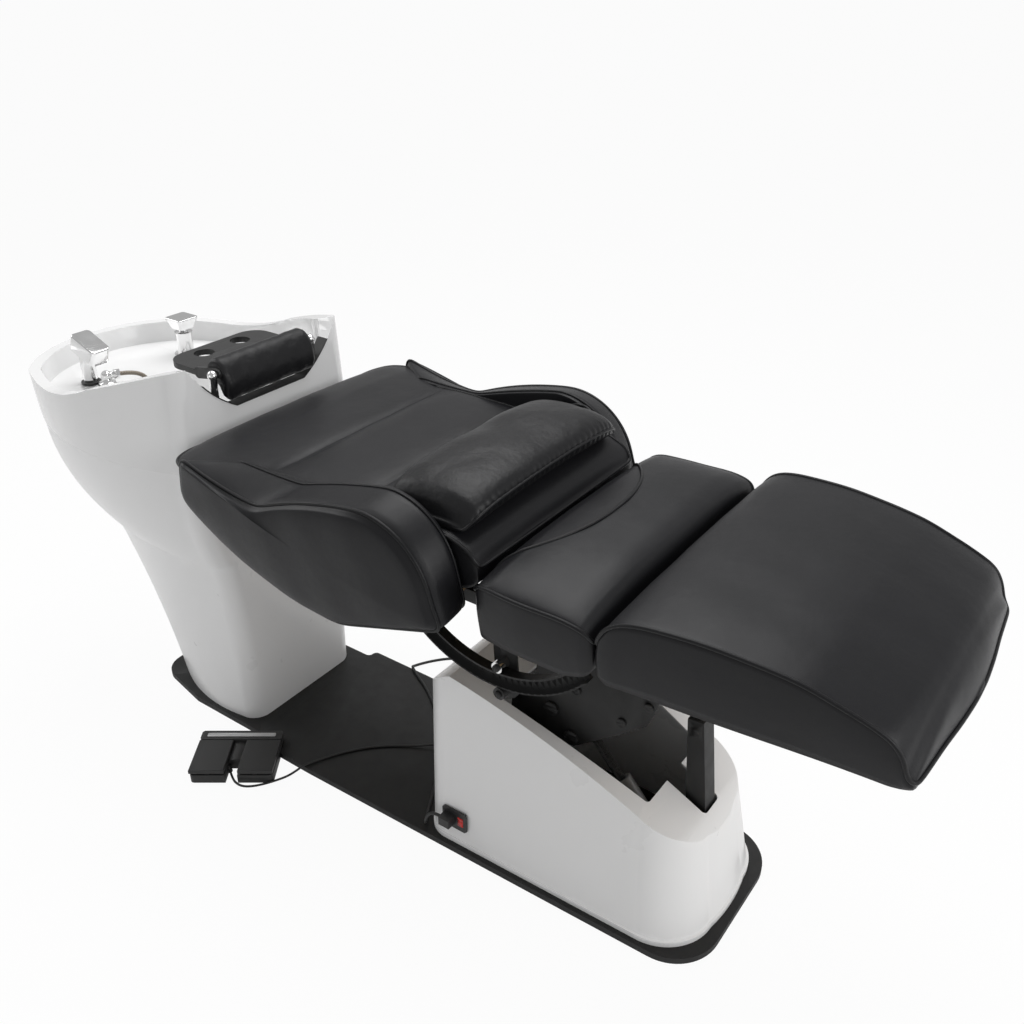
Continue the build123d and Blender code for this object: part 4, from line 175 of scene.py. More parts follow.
def leather(slot, low, high, rough, grain, creases, creaseDepth):
    # coated leather: pebble cells over soft creases, paler and duller where it is worn
    shader = Shader(slot)
    pebble = shader.span(shader.cells(grain), 0.0, 0.35, 0.0, 1.0)
    crease = shader.noise(creases, 3.0, 0.55)
    wear = shader.noise(leatherWork["wear"], 3.0)
    paler = wear * leatherWork["wearShade"] + pebble * leatherWork["pebbleShade"]
    pebbled = shader.bump(pebble, 0.5, leatherWork["pebbleDepth"])
    shader.set(
        Base_Color=shader.mix(paler, shade(low), shade(high)),
        Roughness=rough + (wear - 0.5) * leatherWork["wearRough"] - pebble * leatherWork["pebbleRough"],
        Normal=shader.bump(crease, 0.5, creaseDepth, pebbled), Specular_IOR_Level=leatherWork["gloss"])
    materials[slot] = shader.material


simpleFinishes = {
    "glazed_ceramic": {
        "low": 0.86, "high": 0.875, "rough": (0.06, 0.08), "scale": 5.0,
        "grain": 14.0, "grainDepth": 0.0003, "coat": 0.4,
    },
    "white_moulding": {
        "low": 0.88, "high": 0.895, "rough": (0.27, 0.31), "scale": 9.0,
        "grain": 260.0, "grainDepth": 0.0001, "coat": 0.15,
    },
    "black_steel": {
        "low": 0.004, "high": 0.008, "rough": (0.50, 0.62), "scale": 30.0,
        "grain": 900.0, "grainDepth": 0.00016,
    },
    "chrome_plate": {"low": 0.80, "high": 0.88, "rough": (0.05, 0.13), "scale": 40.0, "metal": 1.0},
    "black_plastic": {
        "low": 0.014, "high": 0.026, "rough": (0.36, 0.50), "scale": 24.0,
        "grain": 1400.0, "grainDepth": 0.0001,
    },
    "grey_drive": {
        "low": 0.36, "high": 0.44, "rough": (0.32, 0.46), "scale": 30.0,
        "grain": 800.0, "grainDepth": 0.0001, "metal": 0.6,
    },
    "grey_pipe": {
        "low": 0.42, "high": 0.48, "rough": (0.38, 0.50), "scale": 20.0,
        "grain": 500.0, "grainDepth": 0.0001,
    },
    "red_plastic": {
        "low": (0.55, 0.012, 0.010), "high": (0.70, 0.03, 0.02), "rough": (0.18, 0.28), "scale": 60.0,
        "grain": 300.0, "grainDepth": 0.0001, "coat": 0.3,
    },
    "cord_jacket": {
        "low": 0.012, "high": 0.022, "rough": (0.45, 0.58), "scale": 60.0,
        "grain": 1500.0, "grainDepth": 0.0001,
    },
    "dark_trim": {
        "low": 0.018, "high": 0.030, "rough": (0.50, 0.62), "scale": 40.0,
        "grain": 1000.0, "grainDepth": 0.00015,
    },
}


def simple(slot, low, high, rough, scale, grain=0.0, grainDepth=0.0, metal=0.0, coat=0.0):
    # moulded, painted or metal finish: colour and roughness drift with noise, and a fine bump
    shader = Shader(slot)
    drift = shader.noise(scale, 4.0)
    shader.set(
        Base_Color=shader.mix(drift, shade(low), shade(high)),
        Roughness=shader.span(drift, 0.3, 0.7, *rough), Metallic=metal, Coat_Weight=coat)
    if grain:
        shader.set(Normal=shader.bump(shader.noise(grain, 2.0), 0.35, grainDepth))
    materials[slot] = shader.material


brushedFinishes = {
    "steel_rod": {"low": 0.42, "high": 0.58, "rough": (0.22, 0.36), "scale": 260.0, "sizes": (1, 1, 14)},
    "silver_strip": {"low": 0.60, "high": 0.74, "rough": (0.24, 0.40), "scale": 900.0, "sizes": (1, 30, 1)},
}


def brushed(slot, low, high, rough, scale, sizes):
    # bare metal: fine lines, from noise that is squeezed along one direction
    shader = Shader(slot)
    lines = shader.noise(scale, 2.0, place=shader.stretch(sizes))
    shader.set(
        Base_Color=shader.mix(lines, shade(low), shade(high)), Metallic=1.0,
        Roughness=shader.span(lines, 0.3, 0.7, *rough), Normal=shader.bump(lines, 0.2, 0.0001))
    materials[slot] = shader.material


for make, table in ((leather, leatherFinishes), (simple, simpleFinishes), (brushed, brushedFinishes)):
    for slot, spec in table.items():
        make(slot, **spec)

ply = Shader("board_wood")
plyGrain = ply.add("ShaderNodeTexWave", {"bands_direction": "Y"}, {
    "Vector": ply.stretch((0.4, 1, 6)), "Scale": 14.0, "Distortion": 5.0, "Detail": 3.0}, "Fac")
ply.set(
    Base_Color=ply.mix(plyGrain, (0.36, 0.24, 0.13, 1), (0.52, 0.38, 0.22, 1)),
    Roughness=ply.span(plyGrain, 0.0, 1.0, 0.55, 0.70), Normal=ply.bump(plyGrain, 0.3, 0.0004))
materials["board_wood"] = ply.material

hoseFinish = Shader("hose_braid")  # two sets of diagonal strands, as on a braided hose
strandA, strandB = (
    hoseFinish.add("ShaderNodeTexWave", {"bands_direction": "DIAGONAL"}, {
        "Vector": slant, "Scale": 260.0}, "Fac")
    for slant in (hoseFinish.place, hoseFinish.stretch((1, -1, 1)))
)
braid = strandA * strandB
hoseFinish.set(
    Base_Color=hoseFinish.mix(braid, (0.16, 0.13, 0.10, 1), (0.46, 0.42, 0.36, 1)), Metallic=0.35,
    Roughness=hoseFinish.span(braid, 0.0, 1.0, 0.50, 0.32), Normal=hoseFinish.bump(braid, 0.5, 0.0006))
materials["hose_braid"] = hoseFinish.material
print("stage: finishes made")


# Cords
def cordCurve(name, points, radius, slot):
    # a round cord on one smooth spline with these control points
    curve = bpy.data.curves.new(name, "CURVE")
    curve.dimensions = "3D"
    spline = curve.splines.new("NURBS")
    spline.points.add(len(points) - 1)
    flat = np.ones((len(points), 4))
    flat[:, :3] = np.array(points)
    spline.points.foreach_set("co", flat.ravel())
    spline.order_u = 3
    spline.use_endpoint_u = True
    spline.resolution_u = 6
    curve.bevel_depth = radius
    curve.bevel_resolution = 4
    curve.use_fill_caps = True
    curve.materials.append(materials[slot])
    cord = placed(name, curve)
    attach(cord, "base")
    return cord


hosePoints = [
    (-0.824, -0.083, 0.785), (-0.800, -0.0405, 0.785), (-0.782, -0.033, 0.741), (-0.775, -0.040, 0.655),
    (-0.786, -0.052, 0.580), (-0.816, -0.076, 0.535), (-0.856, -0.106, 0.542), (-0.878, -0.122, 0.590),
    (-0.881, -0.126, 0.655), (-0.880, -0.124, 0.7176),
]
hose = cordCurve("showerHose", hosePoints, 0.005, "hose_braid")
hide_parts("shower_hose")

pedalCablePoints = [
    (-0.3347, -0.3135, 0.008), (-0.3193, -0.3221, 0.006), (-0.3018, -0.3288, 0.0036), (-0.281, -0.328, 0.0028),
    (-0.262, -0.315, 0.0028), (-0.245, -0.293, 0.0028), (-0.231, -0.268, 0.0028), (-0.220, -0.246, 0.0038),
    (-0.211, -0.227, 0.0106), (-0.2035, -0.210, 0.0184), (-0.194, -0.188, 0.0176), (-0.180, -0.158, 0.0168),
    (-0.160, -0.124, 0.0168), (-0.136, -0.092, 0.0168), (-0.108, -0.062, 0.0168), (-0.074, -0.036, 0.0168),
    (-0.038, -0.013, 0.0178), (-0.012, 0.002, 0.0236), (0.014, 0.017, 0.028), (0.042, 0.034, 0.0256),
    (0.072, 0.054, 0.0224), (0.098, 0.068, 0.026), (0.117, 0.0734, 0.030),
]
pedalCable = cordCurve("pedalCable", pedalCablePoints, 0.0026, "cord_jacket")
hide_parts("pedal_cable")

mainsPoints = [
    (0.1927, -0.200, 0.082), (0.175, -0.200, 0.082), (0.158, -0.1996, 0.071), (0.148, -0.198, 0.051),
    (0.141, -0.1934, 0.031), (0.132, -0.183, 0.0181), (0.118, -0.160, 0.0177), (0.102, -0.128, 0.0177),
    (0.078, -0.086, 0.0177), (0.052, -0.036, 0.0177), (0.018, 0.012, 0.0177), (-0.020, 0.056, 0.0177),
    (-0.062, 0.097, 0.0177), (-0.108, 0.134, 0.0177), (-0.156, 0.167, 0.0177), (-0.202, 0.190, 0.0179),
    (-0.226, 0.203, 0.0195), (-0.241, 0.214, 0.0175), (-0.2465, 0.227, 0.0082), (-0.2435, 0.246, 0.0039),
    (-0.228, 0.272, 0.0037), (-0.203, 0.303, 0.0037), (-0.168, 0.331, 0.0037), (-0.124, 0.349, 0.0037),
    (-0.076, 0.356, 0.0037), (-0.028, 0.352, 0.0037), (0.018, 0.341, 0.0037), (0.062, 0.326, 0.0037),
]
coilSpec = {"loops": 6, "radius": 0.0368, "pitch": 0.0078, "pointsPerLoop": 14, "lead": (0.9465, -0.3227)}
coilStart = np.array(mainsPoints[-1])
coilAhead = np.array((*coilSpec["lead"], 0.0))
coilAside = np.array((-coilSpec["lead"][1], coilSpec["lead"][0], 0.0))
coilUp = np.array((0.0, 0.0, 1.0))
coilTurn = np.arange(1, coilSpec["loops"] * coilSpec["pointsPerLoop"] + 1) / coilSpec["pointsPerLoop"]
coilRound = (  # a circle that rises by one pitch a turn
    coilStart
    + np.outer(np.sin(2 * np.pi * coilTurn) * coilSpec["radius"], coilAhead)
    + np.outer((1 - np.cos(2 * np.pi * coilTurn)) * coilSpec["radius"], coilAside)
    + np.outer(coilTurn * coilSpec["pitch"], coilUp)
)
tailPoints = np.array([  # ahead, aside and up from the coil's top, in millimetres
    (18, 0, 0), (38, 2, -5), (57, 7, -17), (75, 14, -30), (95, 22, -41), (118, 29, -46),
    (142, 32, -44), (166, 33, -38.6), (188, 33, -37.2),
]) / 1000
coilTop = coilStart + coilUp * coilSpec["loops"] * coilSpec["pitch"]
tailRoute = (
    coilTop + tailPoints[:, :1] * coilAhead + tailPoints[:, 1:2] * coilAside + tailPoints[:, 2:] * coilUp
)
mains = cordCurve("mainsLead", [*mainsPoints, *coilRound.tolist(), *tailRoute.tolist()], 0.0035, "cord_jacket")
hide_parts("mains_cord", "mains_coil")
print("stage: cords laid")


# Helpers for surfaces worked out on grids
def cubicRows(spots, rows, wanted):
    # monotone cubic through a table: slopes are weighted harmonic means, flat at turning points
    spots, rows = np.asarray(spots, float), np.asarray(rows, float)
    step = np.diff(spots)[:, None]
    rise = np.diff(rows, axis=0) / step
    same = rise[:-1] * rise[1:] > 0
    before, after = np.where(same, rise[:-1], 1), np.where(same, rise[1:], 1)
    weightA, weightB = 2 * step[1:] + step[:-1], step[1:] + 2 * step[:-1]
    slope = np.zeros_like(rows)
    slope[1:-1] = np.where(same, (weightA + weightB) / (weightA / before + weightB / after), 0)
    slope[0], slope[-1] = rise[0], rise[-1]
    index = np.clip(np.searchsorted(spots, wanted, side="right") - 1, 0, len(spots) - 2)
    part = ((wanted - spots[index]) / step[index, 0])[:, None]
    size = step[index]
    return (
        rows[index] * (2 * part ** 3 - 3 * part ** 2 + 1)
        + slope[index] * size * (part ** 3 - 2 * part ** 2 + part)
        + rows[index + 1] * (3 * part ** 2 - 2 * part ** 3)
        + slope[index + 1] * size * (part ** 3 - part ** 2)
    )


meshSpec = {"weld": 1e-5, "cadWeld": 2e-5, "sliver": 1e-7, "tip": 1e-7}


def tidied(name, mesh):
    # poles and seams welded, faces outwards, smooth
    work = bmesh.new()
    work.from_mesh(mesh)
    bmesh.ops.remove_doubles(work, verts=work.verts, dist=meshSpec["weld"])
    bmesh.ops.dissolve_degenerate(work, edges=work.edges, dist=meshSpec["sliver"])
    bmesh.ops.recalc_face_normals(work, faces=work.faces)
    work.to_mesh(mesh)
    work.free()
    mesh.shade_smooth()
    return placed(name, mesh)


def gridPiece(name, grid, closedAlong=False):
    # a grid of points (rows, round, 3), closed round each row, made a mesh with its own UV map
    rows, around = grid.shape[:2]
    rowIndex = np.arange(rows if closedAlong else rows - 1)
    a, b = np.meshgrid(rowIndex, np.arange(around), indexing="ij")
    nextRow, nextAround = (a + 1) % rows, (b + 1) % around
    corners = ((a, b), (a, nextAround), (nextRow, nextAround), (nextRow, b))
    faces = np.stack([row * around + spot for row, spot in corners], -1)
    mesh = bpy.data.meshes.new(name)
    mesh.from_pydata(grid.reshape(-1, 3).tolist(), [], faces.reshape(-1, 4).tolist())
    layer = mesh.uv_layers.new(name="UVMap")
    along = np.stack([a, a, a + 1, a + 1], -1) / rows
    across = np.stack([b, b + 1, b + 1, b], -1) / around
    layer.data.foreach_set("uv", np.stack([along, across], -1).reshape(-1).astype(np.float32))
    return tidied(name, mesh)


def domed(grid, rings, reaches, axis, centres=(None, None)):
    # both ends closed over a dome: each ring shrinks by a cosine and moves out by the same angle's sine
    scale = np.cos(np.linspace(0, np.pi / 2, rings)[1:])
    caps = []
    for end, reach, centre in zip((0, -1), reaches, centres):
        middle = grid[end].mean(0) if centre is None else centre
        cap = middle + (grid[end] - middle) * scale[:, None, None]
        cap[:, :, axis] = grid[end][0, axis] + reach * np.sqrt(1 - scale ** 2)[:, None]
        caps.append(cap)
    return np.concatenate([caps[0][::-1], grid, caps[1]])


def tubeGrid(path, radius, up, closed, sides=10):
    # circles of one radius set square to a path
    ahead = (np.roll(path, -1, 0) - np.roll(path, 1, 0)) if closed else np.gradient(path, axis=0)
    ahead = ahead / np.linalg.norm(ahead, axis=1, keepdims=True)
    side = np.cross(ahead, up)
    side = side / np.linalg.norm(side, axis=1, keepdims=True)
    above = np.cross(side, ahead)
    turn = np.linspace(0, 2 * np.pi, sides, endpoint=False)
    ring = side[:, None] * np.cos(turn)[None, :, None] + above[:, None] * np.sin(turn)[None, :, None]
    size = np.full(len(path), radius)
    if not closed:  # the ends close to a point
        path = np.concatenate([path[:1], path, path[-1:]])
        ring = np.concatenate([ring[:1], ring, ring[-1:]])
        size = np.concatenate([[meshSpec["tip"]], size, [meshSpec["tip"]]])
    return path[:, None] + ring * size[:, None, None]


def evenly(path, count, closed=False):
    # the same line with its points an equal distance apart
    path = np.asarray(path, float)
    if closed:
        path = np.concatenate([path, path[:1]])
    run = np.concatenate([[0], np.cumsum(np.linalg.norm(np.diff(path, axis=0), axis=1))])
    wanted = np.linspace(0, run[-1], count, endpoint=not closed)
    return np.stack([np.interp(wanted, run, path[:, k]) for k in range(path.shape[1])], 1)


def rounded(loop, width):
    # a closed loop softened by a Gaussian of this many points
    size = len(loop)
    reach = np.minimum(np.arange(size), size - np.arange(size))
    kernel = np.exp(-(reach / width) ** 2 / 2)
    kernel /= kernel.sum()
    return np.real(np.fft.ifft(np.fft.fft(loop, axis=0) * np.fft.fft(kernel)[:, None], axis=0))


def ripple(x, y, waves, size, seed):
    # soft unevenness: a sum of slow waves of random direction and phase
    source = np.random.default_rng(seed)
    total = np.zeros_like(x)
    for wave in waves:
        turn, phase = source.uniform(0, np.pi), source.uniform(0, 2 * np.pi)
        total = total + np.sin((x * np.cos(turn) + y * np.sin(turn)) * 2 * np.pi / wave + phase)
    return total * size / len(waves)


def column(values):
    # a row of values stood up, so that it spreads over the other direction of a grid
    return values[:, None]


def dress(piece, body, slot, *replaced, finish=None):
    # the last steps for a new piece: its material, picked by its slot unless a finish is named, its body and
    # the nodes it stands for
    piece.data.materials.clear()
    piece.data.materials.append(materials[finish or slot])
    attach(piece, body)
    if replaced:
        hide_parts(*replaced)
    return piece


def welt(name, path, radius, up, body, slot="black_leather", closed=True, sides=10):
    # piping: a thin tube along a seam, in the piping's own finish
    piece = gridPiece(name, tubeGrid(path, radius, up, closed, sides), closedAlong=closed)
    dress(piece, body, slot, finish="piping_leather")


# Pads: each row holds its place along the pad, the half-widths of base and seam,
# and the heights of bottom, seam and crown, all as shares of the pad's box
padSpecs = {
    "seatPad": {
        "node": "seat_pad", "body": "seat", "x": (0.346, 0.583), "half": 0.300, "z": (0.656, 0.799),
        "rows": [
            (0.0, 0.84, 0.86, 0.20, 0.50, 0.55), (0.04, 0.91, 0.935, 0.08, 0.62, 0.72),
            (0.10, 0.945, 0.97, 0.0, 0.72, 0.86), (0.20, 0.96, 0.985, 0.0, 0.75, 0.95),
            (0.48, 0.975, 1.0, 0.0, 0.75, 1.0), (0.75, 0.975, 1.0, 0.0, 0.76, 0.985),
            (0.90, 0.975, 0.997, 0.07, 0.73, 0.92), (0.97, 0.965, 0.985, 0.13, 0.67, 0.80),
            (1.0, 0.95, 0.96, 0.22, 0.56, 0.62),
        ],
        "crown": (2.6, 0.62), "bulge": 0.003, "ripple": 0.0012, "seed": 3, "channels": [],
    },
    "legPad": {
        "node": "leg_pad", "body": "leg_rest", "x": (0.588, 1.076), "half": 0.300, "z": (0.672, 0.814),
        "rows": [
            (0.0, 0.955, 0.965, 0.16, 0.45, 0.50), (0.015, 0.97, 0.985, 0.05, 0.60, 0.66),
            (0.05, 0.972, 0.992, 0.0, 0.78, 0.86), (0.11, 0.962, 0.984, 0.0, 0.88, 0.945),
            (0.18, 0.953, 0.973, 0.0, 0.92, 0.98), (0.34, 0.935, 0.953, 0.0, 0.944, 1.0),
            (0.48, 0.915, 0.933, 0.0, 0.915, 0.985), (0.615, 0.893, 0.913, 0.0, 0.86, 0.94),
            (0.74, 0.875, 0.897, 0.0, 0.74, 0.84), (0.832, 0.865, 0.884, 0.0, 0.63, 0.745),
            (0.889, 0.860, 0.877, 0.0, 0.53, 0.68), (0.922, 0.855, 0.870, 0.01, 0.36, 0.61),
            (0.940, 0.850, 0.862, 0.02, 0.18, 0.55), (0.960, 0.835, 0.845, 0.03, 0.11, 0.475),
            (0.980, 0.49, 0.50, 0.04, 0.12, 0.36), (0.994, 0.25, 0.26, 0.06, 0.12, 0.24),
            (1.0, 0.08, 0.09, 0.08, 0.12, 0.17),
        ],
        "crown": (2.6, 0.62), "bulge": 0.003, "ripple": 0.0015, "seed": 5, "channels": [],
    },
    "backPad": {
        "node": "back_pad", "body": "back", "x": (-0.378, 0.338), "half": 0.330, "z": (0.704, 0.814),
        "rows": [
            (0.0, 0.50, 0.52, 0.28, 0.62, 0.66), (0.02, 0.78, 0.80, 0.12, 0.72, 0.80),
            (0.06, 0.92, 0.94, 0.03, 0.76, 0.88), (0.12, 0.965, 0.985, 0.0, 0.77, 0.93),
            (0.160, 0.97, 0.99, 0.0, 0.78, 0.95), (0.25, 0.855, 0.86, 0.0, 0.83, 0.95),
            (0.32, 0.757, 0.757, 0.0, 0.86, 0.95), (0.42, 0.757, 0.757, 0.0, 0.89, 0.995),
            (0.54, 0.757, 0.757, 0.0, 0.89, 0.995), (0.652, 0.757, 0.757, 0.0, 0.88, 0.975),
            (0.70, 0.757, 0.757, 0.0, 0.89, 0.985), (0.90, 0.757, 0.757, 0.0, 0.88, 0.975),
            (0.955, 0.757, 0.757, 0.06, 0.78, 0.87), (0.985, 0.757, 0.757, 0.16, 0.66, 0.74),
            (1.0, 0.755, 0.755, 0.28, 0.50, 0.55),
        ],
        "crown": (3.2, 0.55), "bulge": 0.002, "ripple": 0.0012, "seed": 8,
        "channels": [
            {"at": -0.131, "depth": 0.011, "width": 0.020}, {"at": 0.075, "depth": 0.011, "width": 0.020},
        ],
    },
}


padGrid = {
    "rows": 150, "floor": 12, "side": 10, "top": 56, "waves": (0.31, 0.22, 0.17, 0.12),
    "domeRings": 9, "dome": 0.004,
}
padPiping = {"radius": 0.0036, "points": 420, "soften": 1.6, "proud": 0.0012}


def padRows(spec, place):
    # half-widths and heights in metres at places along the pad
    table = np.array(spec["rows"])
    values = cubicRows(table[:, 0], table[:, 1:], place)
    low, high = spec["z"]
    heights = [low + values[:, k] * (high - low) for k in (2, 3, 4)]
    return (values[:, 0] * spec["half"], values[:, 1] * spec["half"], *heights)


def padCrown(spec, x, share, edge, crown):
    # height over the pad at a share of its half-width: a crowned panel, less its sewn channels
    power, root = spec["crown"]
    height = edge + (crown - edge) * np.maximum(1 - np.abs(share) ** power, 0) ** root
    for channel in spec["channels"]:
        away = np.abs(x - channel["at"]) / channel["width"]
        height = height - channel["depth"] * np.exp(-away ** 0.8 * 1.6) * (1 - np.abs(share) ** 6)
    return height


def padPiece(name, spec):
    # each row of the grid goes round the pad: over its floor, up a side, over its top and down
    even = np.linspace(0, 1, padGrid["rows"])
    place = 0.55 * even + 0.45 * (0.5 - 0.5 * np.cos(np.pi * even))  # rows closer together at the ends
    base, seam, low, edge, crown = padRows(spec, place)
    x = spec["x"][0] + place * (spec["x"][1] - spec["x"][0])
    floorShare = np.linspace(-1, 1, padGrid["floor"])[None, :-1]
    sideShare = np.linspace(0, 1, padGrid["side"])[None, :-1]
    topShare = np.cos(np.linspace(0, np.pi, padGrid["top"]))[None, :-1]
    floorY = column(base) * floorShare
    floorZ = column(low) + 0 * floorShare
    sideY = column(base) + column(seam - base) * sideShare + spec["bulge"] * np.sin(np.pi * sideShare)
    sideZ = column(low) + column(edge - low) * sideShare
    topY = column(seam) * topShare
    topZ = padCrown(spec, column(x), topShare, column(edge), column(crown))
    uneven = ripple(column(x) + 0 * topY, topY, padGrid["waves"], spec["ripple"], spec["seed"])
    topZ = topZ + uneven * (1 - topShare ** 8)
    y = np.concatenate([floorY, sideY, topY, -sideY[:, ::-1]], 1)
    z = np.concatenate([floorZ, sideZ, topZ, sideZ[:, ::-1]], 1)
    grid = np.stack([column(x) + 0 * y, y, z], -1)
    centres = [np.array([x[end], 0, (low[end] + edge[end]) / 2]) for end in (0, -1)]
    reaches = (-padGrid["dome"], padGrid["dome"])
    pad = gridPiece(name, domed(grid, padGrid["domeRings"], reaches, 0, centres))
    dress(pad, spec["body"], "black_leather", spec["node"])
    seamPath = np.concatenate([
        np.stack([x, -seam, edge], 1), np.stack([x[::-1], seam[::-1], edge[::-1]], 1)])
    path = rounded(evenly(seamPath, padPiping["points"], True), padPiping["soften"])
    outward = path[:, :2] - np.array([[np.mean(spec["x"]), 0]])
    path[:, :2] += outward / np.linalg.norm(outward, axis=1, keepdims=True) * padPiping["proud"]
    welt(name + "Piping", path, padPiping["radius"], (0, 0, 1), spec["body"])


for padName, padSpec in padSpecs.items():
    padPiece(padName, padSpec)
print("stage: pads made")

# the seat's inner panel ends in a curved welt, widest at the rear
seatWelt = {"rearX": 0.356, "frontX": 0.452, "half": 0.226, "bow": 2.4, "radius": 0.0030, "lift": 0.0005}


def seatPanelWelt():
    # the welt follows the pad's top
    spec = padSpecs["seatPad"]
    y = np.linspace(-1, 1, 120) * seatWelt["half"]
    share = 1 - np.abs(y / seatWelt["half"]) ** seatWelt["bow"]
    x = seatWelt["rearX"] + (seatWelt["frontX"] - seatWelt["rearX"]) * share
    place = (x - spec["x"][0]) / (spec["x"][1] - spec["x"][0])
    _, seam, _, edge, crown = padRows(spec, place)
    z = padCrown(spec, x, y / seam, edge, crown)
    path = evenly(np.stack([x, y, z + seatWelt["lift"]], 1), 160)
    welt("seatPanelWelt", path, seatWelt["radius"], (0, 0, 1), spec["body"], closed=False, sides=8)


seatPanelWelt()


# Side wings
def arcThrough(first, middle, last, count):
    # points on the circle through three places
    (ax, ay), (bx, by), (cx, cy) = first, middle, last
    double = 2 * (ax * (by - cy) + bx * (cy - ay) + cx * (ay - by))
    ux = ((ax**2 + ay**2) * (by - cy) + (bx**2 + by**2) * (cy - ay) + (cx**2 + cy**2) * (ay - by)) / double
    uy = ((ax**2 + ay**2) * (cx - bx) + (bx**2 + by**2) * (ax - cx) + (cx**2 + cy**2) * (bx - ax)) / double
    radius = math.hypot(ax - ux, ay - uy)
    start, via, end = (math.atan2(p[1] - uy, p[0] - ux) for p in (first, middle, last))
    sweep = (end - start) % (2 * math.pi)
    if (via - start) % (2 * math.pi) > sweep:
        sweep -= 2 * math.pi
    turn = start + sweep * np.linspace(0, 1, count, endpoint=False)
    return np.stack([ux + radius * np.cos(turn), uy + radius * np.sin(turn)], 1)


def straight(first, last, count):
    # points on the line between two places
    part = np.linspace(0, 1, count, endpoint=False)[:, None]
    return np.array(first) * (1 - part) + np.array(last) * part


wingSpec = {
    "inner": [(0.245, 0.90), (0.33, 0.905), (0.475, 0.94), (0.61, 1.20), (0.755, 1.42), (0.878, 1.14),
              (0.945, 0.40), (0.968, -0.20), (0.66, -0.86), (0.44, -0.58), (0.23, 0.16)],
    "outer": [(0.100, 0.97), (0.30, 0.62), (0.385, 0.565), (0.56, 0.99), (0.735, 1.21), (0.862, 0.94),
              (0.938, 0.09), (0.965, -0.30), (0.64, -1.01), (0.37, -0.72), (0.085, 0.20)],
    "centre": (0.55, 0.10), "innerY": 0.251, "outerY": 0.335, "soften": 2.6,
    "swell": [(0.0, -0.012), (0.06, 0.0), (0.25, 0.03), (0.70, 0.035), (0.93, 0.01), (1.0, -0.03)],
    "rings": 30, "domeRings": 15, "innerDome": -0.15, "dome": 0.012,
    "waves": (0.24, 0.17, 0.11), "ripple": 0.0014, "seed": 11, "rippleRim": 0.02,
    # piping round the outer edge, and a flatter welt on the inner one: place, radius
    "welts": {"Piping": (0.90, 0.0036), "Welt": (0.12, 0.0024)}, "weltPoints": 300, "weltProud": 0.006,
}


def wingOutline(spots):
    # a closed loop of arcs and straight runs through the places of the list
    return np.concatenate([
        arcThrough(*spots[0:3], 34), arcThrough(*spots[2:5], 44), arcThrough(*spots[4:7], 34),
        straight(*spots[6:8], 12), straight(*spots[7:9], 40), arcThrough(*spots[8:11], 48),
        straight(spots[10], spots[0], 20),
    ])


def inPad(spots):
    # shares of the back pad's box, made metres
    x0, x1 = padSpecs["backPad"]["x"]
    z0, z1 = padSpecs["backPad"]["z"]
    return [(x0 + a * (x1 - x0), z0 + b * (z1 - z0)) for a, b in spots]


def wingPiece(name, side, node):
    # rings go from the inner outline to the outer one and swell between them, with welts on two of them
    spec = wingSpec
    inner, outer = (rounded(wingOutline(inPad(spec[key])), spec["soften"]) for key in ("inner", "outer"))
    centre = np.array(inPad([spec["centre"]])[0])
    table = np.array(spec["swell"])

    def swellAt(parts):
        return cubicRows(table[:, 0], table[:, 1:], parts)[:, 0]

    def ring(part, grow):
        line = inner + (outer - inner) * part
        line = line + (line - centre) * grow
        y = side * (spec["innerY"] + (spec["outerY"] - spec["innerY"]) * part)
        return np.stack([line[:, 0], np.full(len(line), y), line[:, 1]], 1)

    place = np.linspace(0, 1, spec["rings"])
    grid = np.array([ring(part, grow) for part, grow in zip(place, swellAt(place))])
    reaches = (side * spec["innerDome"] * spec["dome"], side * spec["dome"])
    grid = domed(grid, spec["domeRings"], reaches, 1)
    uneven = ripple(grid[:, :, 0], grid[:, :, 2], spec["waves"], spec["ripple"], spec["seed"])
    grid[:, :, 1] += side * uneven * (np.abs(grid[:, :, 1]) > spec["outerY"] - spec["rippleRim"])
    wing = gridPiece(name, grid)
    dress(wing, "back", "black_leather", node)
    for suffix, (part, radius) in spec["welts"].items():
        line = ring(part, swellAt(np.array([part]))[0] + spec["weltProud"])
        welt(name + suffix, evenly(line, spec["weltPoints"], True), radius, (0, 1, 0), "back")


wingPiece("wingNear", -1, "wing_near")
wingPiece("wingFar", 1, "wing_far")
print("stage: wings made")


# Lumbar pillow: each row across the bed holds its place, depth and thickness as shares
pillowForm = {
    "x": (0.128, 0.318), "half": 0.236, "z": (0.8129, 0.884), "sag": 0.0095,
    "rows": [
        (-1.0, 0.78, 0.22), (-0.965, 0.90, 0.58), (-0.88, 0.965, 0.84), (-0.70, 0.99, 0.97), (-0.35, 1.0, 1.0),
        (0.0, 0.985, 0.96), (0.35, 1.0, 1.0), (0.70, 0.985, 0.96), (0.88, 0.96, 0.84), (0.965, 0.90, 0.58),
        (1.0, 0.78, 0.22),
    ],
    "sections": 190, "around": 96, "domeRings": 8, "dome": 0.004,
    "gatherWave": 0.017, "gatherDepth": 0.0010, "gatherFade": 3.2,
    "fold": 0.0022, "foldWaves": (0.24, 0.17, 0.12), "seed": 21, "crease": 0.0014, "creaseWidth": 0.012,
    "piping": 0.0032, "pipingPoints": 520, "strapRadius": 0.0026,
    # places of the strap loop that stands out of the far end seam, X from the pillow's middle
    "strap": [(-0.028, 0.232, 0.842), (-0.024, 0.2395, 0.846), (-0.008, 0.2430, 0.850),
              (0.010, 0.2430, 0.850), (0.024, 0.2395, 0.846), (0.028, 0.232, 0.842)],
}


